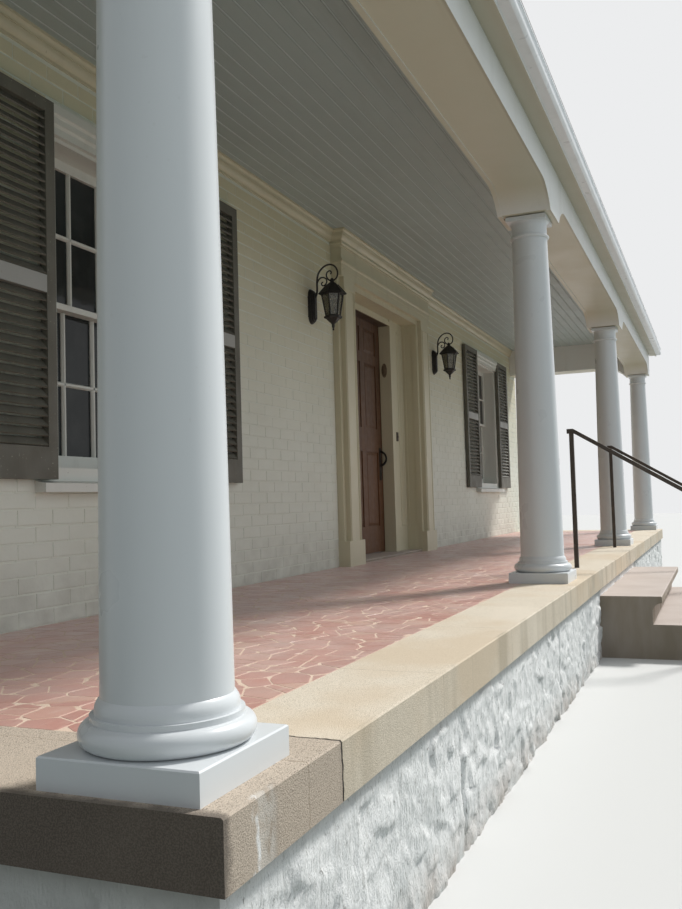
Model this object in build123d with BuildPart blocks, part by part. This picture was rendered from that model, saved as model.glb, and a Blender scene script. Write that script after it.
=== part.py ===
from build123d import *
from math import radians, tan
import os

os.makedirs("parts", exist_ok=True)

# A colonnaded front porch with the stretch of house wall behind it, in millimetres.
# The porch runs along X, the house is toward +Y, and +Z is up.
# The origin is at ground level, in the middle of the house wall's thickness,
# midway between the two end columns.

# Driving dimensions
bay = 3840
bays = 3
porch_depth = 1705
floor_height = 580
wall_thickness = 300
column_height = 2086
soffit_height = 2205
ceiling_height = 2553
eave_height = 2381
beam_width = 302
facade_shift = 285
door_width = 914
door_height = 2092
roof_pitch = 18.4

# Places that follow from them
wall_face = -wall_thickness / 2
wall_back = wall_thickness / 2
column_line = wall_face - porch_depth
end_column = bays * bay / 2
beam_end = end_column + beam_width / 2
beam_front = column_line - beam_width / 2
beam_back = column_line + beam_width / 2
on_face = (Align.CENTER, Align.CENTER, Align.MIN)


def level(height):
    """A height above the porch floor, as a height above the ground."""
    return floor_height + height


def block(x, y, z, mode=Mode.ADD):
    """A plain box between two limits along each axis."""
    with Locations((sum(x) / 2, sum(y) / 2, sum(z) / 2)):
        return Box(x[1] - x[0], y[1] - y[0], z[1] - z[0], mode=mode)


def mirrored(limits, centre=0):
    """The same two limits on the other side of a centre."""
    return (2 * centre - limits[1], 2 * centre - limits[0])


# Roof planes: the underside rises from the eave to the back of the house wall
eave_overhang = 93
eave_face = beam_front - eave_overhang
fascia_height = 140
fascia_thick = 20
roof_thick = 95
roof_end_overhang = 300
roof_end = end_column + roof_end_overhang
roof_lip = 14


def roof_underside(y):
    """Height of the roof's underside above the ground, at a place across the porch."""
    return level(eave_height + fascia_height) + (y - eave_face) * tan(radians(roof_pitch))


# Foundation: rough stone walls carry the coping, the floor slab and the house wall
coping_thick = 122
coping_outreach = 219
coping_end_outreach = 188
coping_width = 310
coping_end_width = 381
coping_front = column_line - coping_outreach
coping_end = end_column + coping_end_outreach
coping_inner = coping_front + coping_width
coping_end_inner = coping_end - coping_end_width
stone_setback = 35
slab_bearing = 60
foundation_top = level(-coping_thick)
stone_front = coping_front + stone_setback
stone_end = coping_end - stone_setback
house_front = wall_face - slab_bearing

with BuildPart() as house_foundation:
    block((-coping_end, coping_end), (house_front, wall_back), (0, foundation_top))
house_foundation.part.label = "house_foundation"
export_step(house_foundation.part, "parts/house_foundation.step")

with BuildPart() as front_foundation:
    block((-stone_end, stone_end), (stone_front, coping_inner + slab_bearing), (0, foundation_top))
front_foundation.part.label = "front_foundation"
export_step(front_foundation.part, "parts/front_foundation.step")

end_foundation_x = (-stone_end, -coping_end_inner + slab_bearing)
for side, x_limits in (("near", end_foundation_x), ("far", mirrored(end_foundation_x))):
    with BuildPart() as end_foundation:
        block(x_limits, (coping_inner + slab_bearing, house_front), (0, foundation_top))
    end_foundation.part.label = f"{side}_end_foundation"
    export_step(end_foundation.part, f"parts/{side}_end_foundation.step")

# Floor: a slab on the foundation's ledges, with the paved field level with the coping
tile_thick = 20

with BuildPart() as porch_slab:
    block((-coping_end_inner, coping_end_inner), (coping_inner, wall_face),
          (foundation_top, floor_height - tile_thick))
porch_slab.part.label = "porch_slab"
export_step(porch_slab.part, "parts/porch_slab.step")

with BuildPart() as tile_floor:
    block((-coping_end_inner, coping_end_inner), (coping_inner, wall_face),
          (floor_height - tile_thick, floor_height))
tile_floor.part.label = "tile_floor"
export_step(tile_floor.part, "parts/tile_floor.step")

# Coping: slabs with fine joints, an angle-shaped one at each end
coping_joint = 3
end_slab_reach = 290
middle_slab_reach = 210
corner_joint = end_column - end_slab_reach
coping_edge = 4

for side, direction in (("near", -1), ("far", 1)):
    with BuildPart() as coping:
        with BuildSketch(Plane.XY.offset(foundation_top)):
            Polygon(
                (direction * coping_end, coping_front),
                (direction * (corner_joint + coping_joint / 2), coping_front),
                (direction * (corner_joint + coping_joint / 2), coping_inner),
                (direction * coping_end_inner, coping_inner),
                (direction * coping_end_inner, wall_face),
                (direction * coping_end, wall_face),
                align=None,
            )
        extrude(amount=coping_thick)
        outside_top = coping.edges().filter_by(Axis.Z, reverse=True).group_by(Axis.Z)[-1]
        chamfer(outside_top.sort_by(Axis.Y)[0], coping_edge)
    coping.part.label = f"coping_{side}_end"
    export_step(coping.part, f"parts/coping_{side}_end.step")

front_joints = [-corner_joint, -(bay / 2 - middle_slab_reach), bay / 2 - middle_slab_reach, corner_joint]
for name, start, stop in zip(("near", "middle", "far"), front_joints, front_joints[1:]):
    with BuildPart() as coping:
        block((start + coping_joint / 2, stop - coping_joint / 2), (coping_front, coping_inner),
              (foundation_top, floor_height))
        chamfer(coping.edges().filter_by(Axis.X).group_by(Axis.Z)[-1].sort_by(Axis.Y)[0], coping_edge)
    coping.part.label = f"coping_front_{name}"
    export_step(coping.part, f"parts/coping_front_{name}.step")

# Steps: two treads in front of the door, each with an overhanging nosing
step_half_width = 1265
tread_depth = 360
riser = 180
nosing_height = 43
nosing_overhang = 60
nosing_cove = 45
nosing_round = 8

for name, treads_out in (("upper", 1), ("lower", 2)):
    top = floor_height - treads_out * riser
    nosing_face = coping_front - treads_out * tread_depth
    riser_face = nosing_face + nosing_overhang
    back = stone_front if treads_out == 1 else riser_face + tread_depth
    with BuildPart() as step:
        with BuildSketch(Plane.YZ.offset(facade_shift - step_half_width)):
            with BuildLine():
                nosing = Polyline((back, 0), (back, top), (nosing_face, top),
                                  (nosing_face, top - nosing_height))
                cove_foot = (riser_face, top - nosing_height - nosing_cove)
                RadiusArc(nosing @ 1, cove_foot, nosing_overhang)
                Polyline(cove_foot, (riser_face, 0), (back, 0))
            make_face()
        extrude(amount=2 * step_half_width)
        top_edges = step.edges().filter_by(Axis.X).group_by(Axis.Z)[-1]
        fillet(top_edges.sort_by(Axis.Y)[0], nosing_round)
    step.part.label = f"step_{name}"
    export_step(step.part, f"parts/step_{name}.step")

# Handrails: a post on the coping, a post on the lower step and a bar between their tops
rail_half_spacing = 1210
rail_post = 28
rail_height = 900
rail_setback = 48
rail_foot_setback = 60
rail_top_y = column_line - rail_setback
rail_foot_y = coping_front - 2 * tread_depth + rail_foot_setback
rail_slope = 0.61
rail_foot_top = level(rail_height) - (rail_top_y - rail_foot_y) * rail_slope
rail_bar = 30
rail_grip = 39

for side, direction in (("near", -1), ("far", 1)):
    rail_x = facade_shift + direction * rail_half_spacing
    with BuildPart() as handrail:
        for post_y, foot, head in ((rail_top_y, floor_height, level(rail_height)),
                                   (rail_foot_y, level(-2 * riser), rail_foot_top)):
            block((rail_x - rail_post / 2, rail_x + rail_post / 2),
                  (post_y - rail_post / 2, post_y + rail_post / 2), (foot, head))
        with BuildSketch(Plane.YZ.offset(rail_x)):
            Polygon(
                (rail_top_y + rail_post, level(rail_height)),
                (rail_top_y + rail_post, level(rail_height) + rail_bar),
                (rail_top_y - rail_post / 2, level(rail_height) + rail_bar),
                (rail_foot_y - 2 * rail_post, rail_foot_top + rail_bar - 2 * rail_post * rail_slope),
                (rail_foot_y - 2 * rail_post, rail_foot_top - 2 * rail_post * rail_slope),
                (rail_top_y - rail_post / 2, level(rail_height)),
                align=None,
            )
        extrude(amount=rail_grip / 2, both=True)
    handrail.part.label = f"handrail_{side}"
    export_step(handrail.part, f"parts/handrail_{side}.step")

# Columns: a square plinth with a big round moulding, a swelling shaft, a ring and a square abacus
plinth_side = 326
plinth_height = 58
plinth_edge = 3
torus_radius = 161
torus_height = 46
ring_radius = 140
ring_height = 10
base_height = 122
foot_radius = 121.5
foot_flare = 10
flare_height = 22
neck_radius = 100
bead_radius = 11
bead_bottom = 1965
abacus_side = 226
abacus_thick = 24
echinus_radius = 112
echinus_height = 20
swell_radius = 114
swell_height = 950

for number in range(1, bays + 2):
    column_place = Plane((-end_column + (number - 1) * bay, column_line, floor_height))

    with BuildPart(column_place) as base:
        Box(plinth_side, plinth_side, plinth_height, align=on_face)
        chamfer(base.edges().group_by(Axis.Z)[-1], plinth_edge)
        with BuildSketch(Plane(column_place.origin, x_dir=(1, 0, 0), z_dir=(0, -1, 0))):
            with BuildLine():
                torus_top = plinth_height + torus_height
                axis_foot = Polyline((torus_radius - torus_height / 2, plinth_height), (0, plinth_height),
                                     (0, base_height), (foot_radius + foot_flare, base_height),
                                     (foot_radius + foot_flare, torus_top + ring_height),
                                     (ring_radius, torus_top + ring_height), (ring_radius, torus_top),
                                     (torus_radius - torus_height / 2, torus_top))
                torus_middle = (torus_radius, plinth_height + torus_height / 2)
                ThreePointArc(axis_foot @ 1, torus_middle, axis_foot @ 0)
            make_face()
        revolve(axis=Axis(column_place.origin, (0, 0, 1)))
    base.part.label = f"column_{number}_base"
    export_step(base.part, f"parts/column_{number}_base.step")

    with BuildPart(column_place) as shaft:
        with BuildSketch(Plane(column_place.origin, x_dir=(1, 0, 0), z_dir=(0, -1, 0))):
            with BuildLine():
                abacus_bottom = column_height - abacus_thick
                bead_top = bead_bottom + 2 * bead_radius
                flare = RadiusArc((foot_radius + foot_flare, base_height),
                                  (foot_radius, base_height + flare_height), -30)
                swell = ThreePointArc(flare @ 1, (swell_radius, swell_height), (neck_radius, bead_bottom))
                bead = ThreePointArc(swell @ 1, (neck_radius + bead_radius, bead_bottom + bead_radius),
                                     (neck_radius, bead_top))
                neck = Line(bead @ 1, (neck_radius, abacus_bottom - echinus_height))
                echinus = RadiusArc(neck @ 1, (echinus_radius, abacus_bottom), echinus_height)
                Polyline(echinus @ 1, (0, abacus_bottom), (0, base_height), flare @ 0)
            make_face()
        revolve(axis=Axis(column_place.origin, (0, 0, 1)))
        with BuildSketch(column_place.offset(abacus_bottom)):
            Rectangle(abacus_side, abacus_side)
        extrude(amount=abacus_thick)
    shaft.part.label = f"column_{number}_shaft"
    export_step(shaft.part, f"parts/column_{number}_shaft.step")

# Front beam: flat between the columns, swept down on to each capital by a hollow curve
seat_half_length = 145
haunch_run = 250
haunch_rise = soffit_height - column_height
haunch_radius = (haunch_run**2 + haunch_rise**2) / (2 * haunch_rise)
face_board = 25
soffit_recess = 6


def beam_outline(recess):
    """The beam's long side, its underside raised by the recess of the soffit boards."""
    seat, soffit = level(column_height) + recess, level(soffit_height) + recess
    with BuildLine() as outline:
        last = (-beam_end, seat)
        for number in range(bays):
            left = -end_column + number * bay + seat_half_length
            right = left + bay - 2 * seat_half_length
            Line(last, (left, seat))
            RadiusArc((left, seat), (left + haunch_run, soffit), haunch_radius)
            Line((left + haunch_run, soffit), (right - haunch_run, soffit))
            RadiusArc((right - haunch_run, soffit), (right, seat), haunch_radius)
            last = (right, seat)
        top = roof_underside(beam_back)
        Polyline(last, (beam_end, seat), (beam_end, top), (-beam_end, top), (-beam_end, seat))
    return outline.line.edges()


core_outline = beam_outline(soffit_recess)
face_outline = beam_outline(0)
space_over_roof = 400

with BuildPart() as front_beam:
    with BuildSketch(Plane.XZ.offset(-beam_back)):
        make_face(core_outline)
    extrude(amount=beam_width)
    with BuildSketch(Plane.XZ.offset(-beam_back), Plane.XZ.offset(-beam_front - face_board)):
        make_face(face_outline)
    extrude(amount=face_board)
    with BuildSketch(Plane.YZ.offset(-beam_end)):
        Polygon((beam_front, roof_underside(beam_front)), (beam_back, roof_underside(beam_back)),
                (beam_back, roof_underside(beam_back) + space_over_roof),
                (beam_front, roof_underside(beam_back) + space_over_roof), align=None)
    extrude(amount=2 * beam_end, mode=Mode.SUBTRACT)
front_beam.part.label = "front_beam"
export_step(front_beam.part, "parts/front_beam.step")

# End beams: from the front beam to the house wall, with the same curve at the column
end_beam_x = (-beam_end, -beam_end + beam_width)
for side, x_limits in (("near", end_beam_x), ("far", mirrored(end_beam_x))):
    with BuildPart() as end_beam:
        with BuildSketch(Plane.YZ.offset(x_limits[0])):
            with BuildLine():
                haunch = RadiusArc((beam_back, level(column_height)),
                                   (beam_back + haunch_run, level(soffit_height)), haunch_radius)
                Polyline(haunch @ 1, (wall_face, level(soffit_height)), (wall_face, level(ceiling_height)),
                         (beam_back, level(ceiling_height)), haunch @ 0)
            make_face()
        extrude(amount=beam_width)
    end_beam.part.label = f"{side}_end_beam"
    export_step(end_beam.part, f"parts/{side}_end_beam.step")

# Boarded triangles that close the roof space above the end beams
gable_thick = 100
gable_x = (-beam_end, -beam_end + gable_thick)
for side, x_limits in (("near", gable_x), ("far", mirrored(gable_x))):
    with BuildPart() as gable:
        with BuildSketch(Plane.YZ.offset(x_limits[0])):
            Polygon((beam_back, level(ceiling_height)), (wall_face, level(ceiling_height)),
                    (wall_face, roof_underside(wall_face)), (beam_back, roof_underside(beam_back)),
                    align=None)
        extrude(amount=gable_thick)
    gable.part.label = f"{side}_gable"
    export_step(gable.part, f"parts/{side}_gable.step")

# Ceiling boards between the beams
ceiling_thick = 20
ceiling_x = beam_end - beam_width

with BuildPart() as ceiling:
    block((-ceiling_x, ceiling_x), (beam_back, wall_face),
          (level(ceiling_height), level(ceiling_height) + ceiling_thick))
ceiling.part.label = "ceiling"
export_step(ceiling.part, "parts/ceiling.step")

# Eave: a soffit board out from the beam and an upright fascia with a small drip
drip = 10

with BuildPart() as eave:
    block((-roof_end, roof_end), (eave_face + fascia_thick, beam_front),
          (level(eave_height), level(eave_height) + fascia_thick))
    with BuildSketch(Plane.YZ.offset(-roof_end)):
        Polygon((eave_face, level(eave_height) - drip),
                (eave_face + fascia_thick, level(eave_height) - drip),
                (eave_face + fascia_thick, roof_underside(eave_face + fascia_thick)),
                (eave_face, roof_underside(eave_face)), align=None)
    extrude(amount=2 * roof_end)
eave.part.label = "eave"
export_step(eave.part, "parts/eave.step")

# Gutter: a thin folded channel with a rolling front, closed at its ends
gutter_bottom = level(eave_height + 4)
gutter_depth = 62
gutter_height = 84
gutter_sheet = 3
gutter_foot = 14
belly_height = 38
lip_height = 8

with BuildPart() as gutter:
    with BuildSketch(Plane.YZ.offset(-roof_end)):
        with BuildLine():
            back = eave_face
            front = eave_face - gutter_depth
            lip_bottom = gutter_bottom + gutter_height - lip_height
            floor_line = Line((back, gutter_bottom), (front + gutter_foot, gutter_bottom))
            belly = ThreePointArc(floor_line @ 1, (front + 1, gutter_bottom + belly_height * 0.4),
                                  (front + gutter_sheet, gutter_bottom + belly_height))
            hollow_height = (gutter_bottom + belly_height + lip_bottom) / 2
            hollow = ThreePointArc(belly @ 1, (front + 3 * gutter_sheet, hollow_height),
                                   (front + gutter_sheet, lip_bottom))
            Polyline(hollow @ 1, (front, lip_bottom), (front, gutter_bottom + gutter_height),
                     (back, gutter_bottom + gutter_height), floor_line @ 0)
        make_face()
    extrude(amount=2 * roof_end)
    channel_x = (-roof_end + gutter_sheet, roof_end - gutter_sheet)
    channel_front = front + gutter_foot + gutter_sheet
    block(channel_x, (channel_front, back - gutter_sheet),
          (gutter_bottom + gutter_sheet, gutter_bottom + gutter_height), mode=Mode.SUBTRACT)
gutter.part.label = "gutter"
export_step(gutter.part, "parts/gutter.step")

# Roof: one plain slope from the eave to the back of the house wall
with BuildPart() as roof:
    with BuildSketch(Plane.YZ.offset(-roof_end)):
        roof_front = eave_face - roof_lip
        Polygon((roof_front, roof_underside(roof_front)), (wall_back, roof_underside(wall_back)),
                (wall_back, roof_underside(wall_back) + roof_thick),
                (roof_front, roof_underside(roof_front) + roof_thick), align=None)
    extrude(amount=2 * roof_end)
roof.part.label = "roof"
export_step(roof.part, "parts/roof.step")

# House wall: split beside and over the doorway, with a window cut through each side
window_half_spacing = 3790
window_half_width = 540
window_sill_height = 610
window_head_height = 2150
doorway_half_width = 840
doorway_head = 2180
window_x = {"near": facade_shift - window_half_spacing, "far": facade_shift + window_half_spacing}


def wall_section(bottom):
    """The wall cut across: from a level up to the sloping underside of the roof."""
    return ((wall_face, bottom), (wall_back, bottom), (wall_back, roof_underside(wall_back)),
            (wall_face, roof_underside(wall_face)))


wall_limits = {"near": (-coping_end, facade_shift - doorway_half_width),
               "far": (facade_shift + doorway_half_width, coping_end)}
for side, (start, stop) in wall_limits.items():
    with BuildPart() as wall:
        with BuildSketch(Plane.YZ.offset(start)):
            Polygon(*wall_section(foundation_top), align=None)
        extrude(amount=stop - start)
        block((window_x[side] - window_half_width, window_x[side] + window_half_width),
              (wall_face, wall_back), (level(window_sill_height), level(window_head_height)),
              mode=Mode.SUBTRACT)
    wall.part.label = f"wall_{side}"
    export_step(wall.part, f"parts/wall_{side}.step")

with BuildPart() as wall_over_door:
    with BuildSketch(Plane.YZ.offset(facade_shift - doorway_half_width)):
        Polygon(*wall_section(level(doorway_head)), align=None)
    extrude(amount=2 * doorway_half_width)
wall_over_door.part.label = "wall_over_door"
export_step(wall_over_door.part, "parts/wall_over_door.step")

# Door surround: stepped pilasters carry a plain lintel, a fillet and a frieze
surround_half_width = 1130
pilaster_half_width = 864
opening_half_width = 820
opening_head = 2160
back_band = 43
band_projection = 49
surround_projection = 86
lintel_top = 2312
fillet_height = 20
fillet_overhang = 14
necking_height = 2108
necking_thick = 12
necking_overhang = 6
block_height = 190
block_overhang = 8
inner_band = pilaster_half_width - opening_half_width
pilaster_top = opening_head + inner_band
surround_face = wall_face - surround_projection
band_face = wall_face - band_projection

with BuildPart() as door_surround:
    for direction in (-1, 1):
        outer = facade_shift + direction * surround_half_width
        band = outer - direction * back_band
        pilaster = facade_shift + direction * pilaster_half_width
        inner = facade_shift + direction * opening_half_width
        with BuildSketch(Plane.XY.offset(floor_height)):
            Polygon((outer, wall_face), (outer, band_face), (band, band_face), (band, surround_face),
                    (pilaster, surround_face), (pilaster, band_face), (inner, band_face),
                    (inner, wall_face), align=None)
        extrude(amount=pilaster_top)
        block(sorted((outer + direction * block_overhang, inner)),
              (surround_face - block_overhang, wall_face), (floor_height, level(block_height)))
        block(sorted((band + direction * necking_overhang, pilaster - direction * necking_overhang)),
              (surround_face - necking_overhang, wall_face),
              (level(necking_height), level(necking_height + necking_thick)))
    block((facade_shift - opening_half_width, facade_shift + opening_half_width), (band_face, wall_face),
          (level(opening_head), level(pilaster_top)))
    surround_x = (facade_shift - surround_half_width, facade_shift + surround_half_width)
    block(surround_x, (surround_face, wall_face), (level(pilaster_top), level(ceiling_height)))
    block((surround_x[0] - fillet_overhang, surround_x[1] + fillet_overhang),
          (surround_face - fillet_overhang, wall_face),
          (level(lintel_top), level(lintel_top + fillet_height)))
door_surround.part.label = "door_surround"
export_step(door_surround.part, "parts/door_surround.step")

# Crown moulding: one profile mitred along the wall and forward around the door surround
crown_projection = 52
crown_drop = 92
crown_foot = 8
crown_foot_height = 14
crown_break = 36
crown_lip = 12

with BuildPart() as wall_crown:
    crown_start = (-ceiling_x, wall_face, level(ceiling_height))
    with BuildLine():
        Polyline(
            crown_start,
            (surround_x[0], wall_face, level(ceiling_height)),
            (surround_x[0], surround_face, level(ceiling_height)),
            (surround_x[1], surround_face, level(ceiling_height)),
            (surround_x[1], wall_face, level(ceiling_height)),
            (ceiling_x, wall_face, level(ceiling_height)),
        )
    with BuildSketch(Plane(crown_start, x_dir=(0, -1, 0), z_dir=(-1, 0, 0))):
        with BuildLine():
            foot_top = (crown_foot, crown_foot_height - crown_drop)
            Polyline((crown_projection, 0), (0, 0), (0, -crown_drop), (crown_foot, -crown_drop), foot_top)
            cove_top = (crown_break - crown_foot / 2, -crown_break)
            RadiusArc(foot_top, cove_top, -crown_projection)
            Line(cove_top, (crown_break, -crown_break))
            ogee_top = (crown_projection - crown_foot / 2, -crown_lip)
            RadiusArc((crown_break, -crown_break), ogee_top, 2 * crown_lip)
            Polyline(ogee_top, (crown_projection, -crown_lip), (crown_projection, 0))
        make_face()
    sweep(transition=Transition.RIGHT)
wall_crown.part.label = "wall_crown"
export_step(wall_crown.part, "parts/wall_crown.step")

# Door frame: deep linings behind the surround, a beaded casing and a stop for the door
door_gap = 5
leaf_thick = 45
leaf_front = wall_face + 202
leaf_back = leaf_front + leaf_thick
leaf_bottom = level(28)
leaf_top = leaf_bottom + door_height
stop_cover = 14
stop_drop = 20
jamb_half_width = door_width / 2 + door_gap
stop_half_width = jamb_half_width - stop_cover
stop_back = leaf_front - door_gap
stop_bottom = leaf_top - stop_drop
casing_face = wall_face + 100
casing_bead = 70
bead_proud = 12
lining_sink = 8
lining_border = 26
lining_foot = level(block_height + 40)
lining_head = level(opening_head - 90)
sill_top = level(20)
sill_nose = 40
sill_round = 9

with BuildPart() as door_frame:
    for direction in (-1, 1):
        with BuildSketch(Plane.XY.offset(sill_top)):
            profile = [
                (doorway_half_width, wall_face),
                (opening_half_width, wall_face),
                (opening_half_width, casing_face),
                (stop_half_width + casing_bead, casing_face),
                (stop_half_width + casing_bead, casing_face - bead_proud),
                (stop_half_width, casing_face - bead_proud),
                (stop_half_width, stop_back),
                (jamb_half_width, stop_back),
                (jamb_half_width, leaf_back),
                (doorway_half_width, leaf_back),
            ]
            Polygon(*[(facade_shift + direction * x, y) for x, y in profile], align=None)
        extrude(amount=level(doorway_head) - sill_top)
        lining = facade_shift + direction * opening_half_width
        block(sorted((lining, lining + direction * lining_sink)),
              (wall_face, casing_face - lining_border), (lining_foot, lining_head), mode=Mode.SUBTRACT)
    with BuildSketch(Plane.YZ.offset(facade_shift - doorway_half_width)):
        Polygon(
            (wall_face, level(doorway_head)),
            (wall_face, level(opening_head)),
            (casing_face, level(opening_head)),
            (casing_face, stop_bottom),
            (stop_back, stop_bottom),
            (stop_back, leaf_top + door_gap),
            (leaf_back, leaf_top + door_gap),
            (leaf_back, level(doorway_head)),
            align=None,
        )
    extrude(amount=2 * doorway_half_width)
    bead_half_width = stop_half_width + casing_bead
    block((facade_shift - bead_half_width, facade_shift + bead_half_width),
          (casing_face - bead_proud, casing_face), (stop_bottom, stop_bottom + casing_bead / 2))
door_frame.part.label = "door_frame"
export_step(door_frame.part, "parts/door_frame.step")

with BuildPart() as door_sill:
    block((facade_shift - doorway_half_width, facade_shift + doorway_half_width),
          (wall_face, wall_back), (foundation_top, sill_top))
    block((facade_shift - opening_half_width, facade_shift + opening_half_width),
          (wall_face - sill_nose, wall_face), (floor_height, sill_top))
    fillet(door_sill.edges().filter_by(Axis.X).group_by(Axis.Y)[0].sort_by(Axis.Z)[-1], sill_round)
door_sill.part.label = "door_sill"
export_step(door_sill.part, "parts/door_sill.step")

# Front door: six raised panels in two columns, hung on knuckles at its near edge
door_left = facade_shift - door_width / 2
stile = 115
mullion = 100
panel_sink = 9
panel_border = 30
panel_bevel = 8
panel_back = 1
knuckle_radius = 7
knuckle_length = 100
knuckle_inset = 200
hinge_leaf = 35
hinge_sheet = 3
hinge_x = door_left - door_gap / 2
knuckle_clear = 2
hinge_y = leaf_back + knuckle_radius + knuckle_clear
panel_rows = ((235, 663), (1109, 579), (1781, 220))
panel_width = (door_width - 2 * stile - mullion) / 2
panel_columns = (door_left + stile + panel_width / 2, door_left + door_width - stile - panel_width / 2)

with BuildPart() as front_door:
    block((door_left, door_left + door_width), (leaf_front, leaf_back), (leaf_bottom, leaf_top))
    for row_bottom, row_height in panel_rows:
        for panel_x in panel_columns:
            panel_z = leaf_bottom + row_bottom + row_height / 2
            for face_y, outward in ((leaf_front, -1), (leaf_back, 1)):
                sunk = Plane((panel_x, face_y, panel_z), x_dir=(1, 0, 0), z_dir=(0, outward, 0))
                with BuildSketch(sunk):
                    Rectangle(panel_width, row_height)
                extrude(amount=-panel_sink, mode=Mode.SUBTRACT)
                with BuildSketch(sunk.offset(-panel_sink)):
                    Rectangle(panel_width - 2 * panel_bevel, row_height - 2 * panel_bevel)
                with BuildSketch(sunk.offset(-panel_back)):
                    Rectangle(panel_width - 2 * panel_border, row_height - 2 * panel_border)
                loft()
    for knuckle_z in (leaf_bottom + knuckle_inset, leaf_bottom + door_height / 2, leaf_top - knuckle_inset):
        with Locations((hinge_x, hinge_y, knuckle_z)):
            Cylinder(knuckle_radius, knuckle_length)
        block((hinge_x, door_left + hinge_leaf), (leaf_back, leaf_back + hinge_sheet),
              (knuckle_z - knuckle_length / 2, knuckle_z + knuckle_length / 2))
front_door.part.label = "front_door"
export_step(front_door.part, "parts/front_door.step")

# Door handle: an arched grip on a long plate outside, a knob on a rose inside
handle_backset = 62
handle_x = door_left + door_width - handle_backset
handle_z = leaf_bottom + 845
grip_height = 150
grip_reach = 62
grip_bar = 14
grip_root = 22
plate_half_width = 24
plate_thick = 5
plate_above = 97
plate_below = 198
rose_radius = 30
rose_thick = 6
neck_of_knob = 11
knob_radius = 22
knob_reach = 30

with BuildPart() as door_handle:
    plate_face = leaf_front - plate_thick
    block((handle_x - plate_half_width, handle_x + plate_half_width), (plate_face, leaf_front),
          (handle_z - plate_below, handle_z + plate_above))
    with BuildSketch(Plane.YZ.offset(handle_x - grip_bar / 2)):
        with BuildLine():
            top_root = (plate_face, handle_z + grip_height / 2)
            bottom_root = (plate_face, handle_z - grip_height / 2)
            inner_top = (plate_face, handle_z + grip_height / 2 - grip_root)
            inner_bottom = (plate_face, handle_z - grip_height / 2 + grip_root)
            ThreePointArc(top_root, (plate_face - grip_reach, handle_z), bottom_root)
            Line(bottom_root, inner_bottom)
            ThreePointArc(inner_bottom, (plate_face - grip_reach + grip_bar, handle_z), inner_top)
            Line(inner_top, top_root)
        make_face()
    extrude(amount=grip_bar)
    with Locations(Plane((handle_x, leaf_back, handle_z), z_dir=(0, 1, 0))):
        Cylinder(rose_radius, rose_thick, align=on_face)
        Cylinder(neck_of_knob, knob_reach - neck_of_knob, align=on_face)
    with Locations((handle_x, leaf_back + knob_reach, handle_z)):
        Sphere(knob_radius)
door_handle.part.label = "door_handle"
export_step(door_handle.part, "parts/door_handle.step")

# Windows: a frame with a moulded head and a sloping sill, two sliding sashes and their glass
frame_depth = 235
jamb_thick = 58
head_steps = ((0, 24), (45, 34), (84, 46))
head_overlap = 12
head_top = 2262
sill_reach = 95
sill_projection = 60
sill_fall = 12
sill_thick = 50
sash_stile = 46
sash_thick = 38
upper_sash_y = wall_face + 130
sash_gap = 4
lower_sash_y = upper_sash_y + sash_thick + sash_gap
meeting_height = 1414
meeting_rail = 28
bottom_rail = 68
glass_thick = 4

for side, centre in window_x.items():
    left, right = centre - window_half_width, centre + window_half_width
    sill_top_z, head_z = level(window_sill_height), level(window_head_height)

    with BuildPart() as window_frame:
        block((left, right), (wall_face, wall_face + frame_depth), (sill_top_z, head_z))
        block((left + jamb_thick, right - jamb_thick), (wall_face, wall_face + frame_depth),
              (sill_top_z + jamb_thick, head_z - jamb_thick / 2), mode=Mode.SUBTRACT)
        for rise, projection in head_steps:
            block((left, right), (wall_face - projection, wall_face),
                  (head_z + rise - head_overlap, level(head_top)))
        with BuildSketch(Plane.YZ.offset(left - sill_reach)):
            Polygon((wall_face, sill_top_z), (wall_face - sill_projection, sill_top_z - sill_fall),
                    (wall_face - sill_projection, sill_top_z - sill_thick),
                    (wall_face, sill_top_z - sill_thick), align=None)
        extrude(amount=right - left + 2 * sill_reach)
    window_frame.part.label = f"window_{side}_frame"
    export_step(window_frame.part, f"parts/window_{side}_frame.step")

    inner_left, inner_right = left + jamb_thick, right - jamb_thick
    sashes = {
        "upper": (upper_sash_y, level(meeting_height), head_z - jamb_thick / 2, meeting_rail, sash_stile),
        "lower": (lower_sash_y, sill_top_z + jamb_thick, level(meeting_height) + meeting_rail,
                  bottom_rail, meeting_rail),
    }
    with BuildPart() as window_sashes:
        for sash_y, low, high, low_rail, high_rail in sashes.values():
            block((inner_left, inner_right), (sash_y, sash_y + sash_thick), (low, high))
            block((inner_left + sash_stile, inner_right - sash_stile), (sash_y, sash_y + sash_thick),
                  (low + low_rail, high - high_rail), mode=Mode.SUBTRACT)
    window_sashes.part.label = f"window_{side}_sashes"
    export_step(window_sashes.part, f"parts/window_{side}_sashes.step")

    with BuildPart() as window_glass:
        for sash_y, low, high, low_rail, high_rail in sashes.values():
            block((inner_left + sash_stile, inner_right - sash_stile),
                  (sash_y + sash_thick / 2, sash_y + sash_thick / 2 + glass_thick),
                  (low + low_rail, high - high_rail))
    window_glass.part.label = f"window_{side}_glass"
    export_step(window_glass.part, f"parts/window_{side}_glass.step")

# Shutters: louvred leaves fixed flat beside each window
shutter_width = 560
shutter_thick = 35
shutter_off_wall = 12
shutter_bottom = 614
shutter_top = 2260
shutter_stile = 58
top_rail = 56
mid_rail = (1411, 1487)
foot_rail = 137
slat_pitch = 40
slat_width = 42
slat_thick = 8
slat_tilt = 50
pin_radius = 9
pin_heights = (shutter_bottom + 60, shutter_top - 28)

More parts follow.
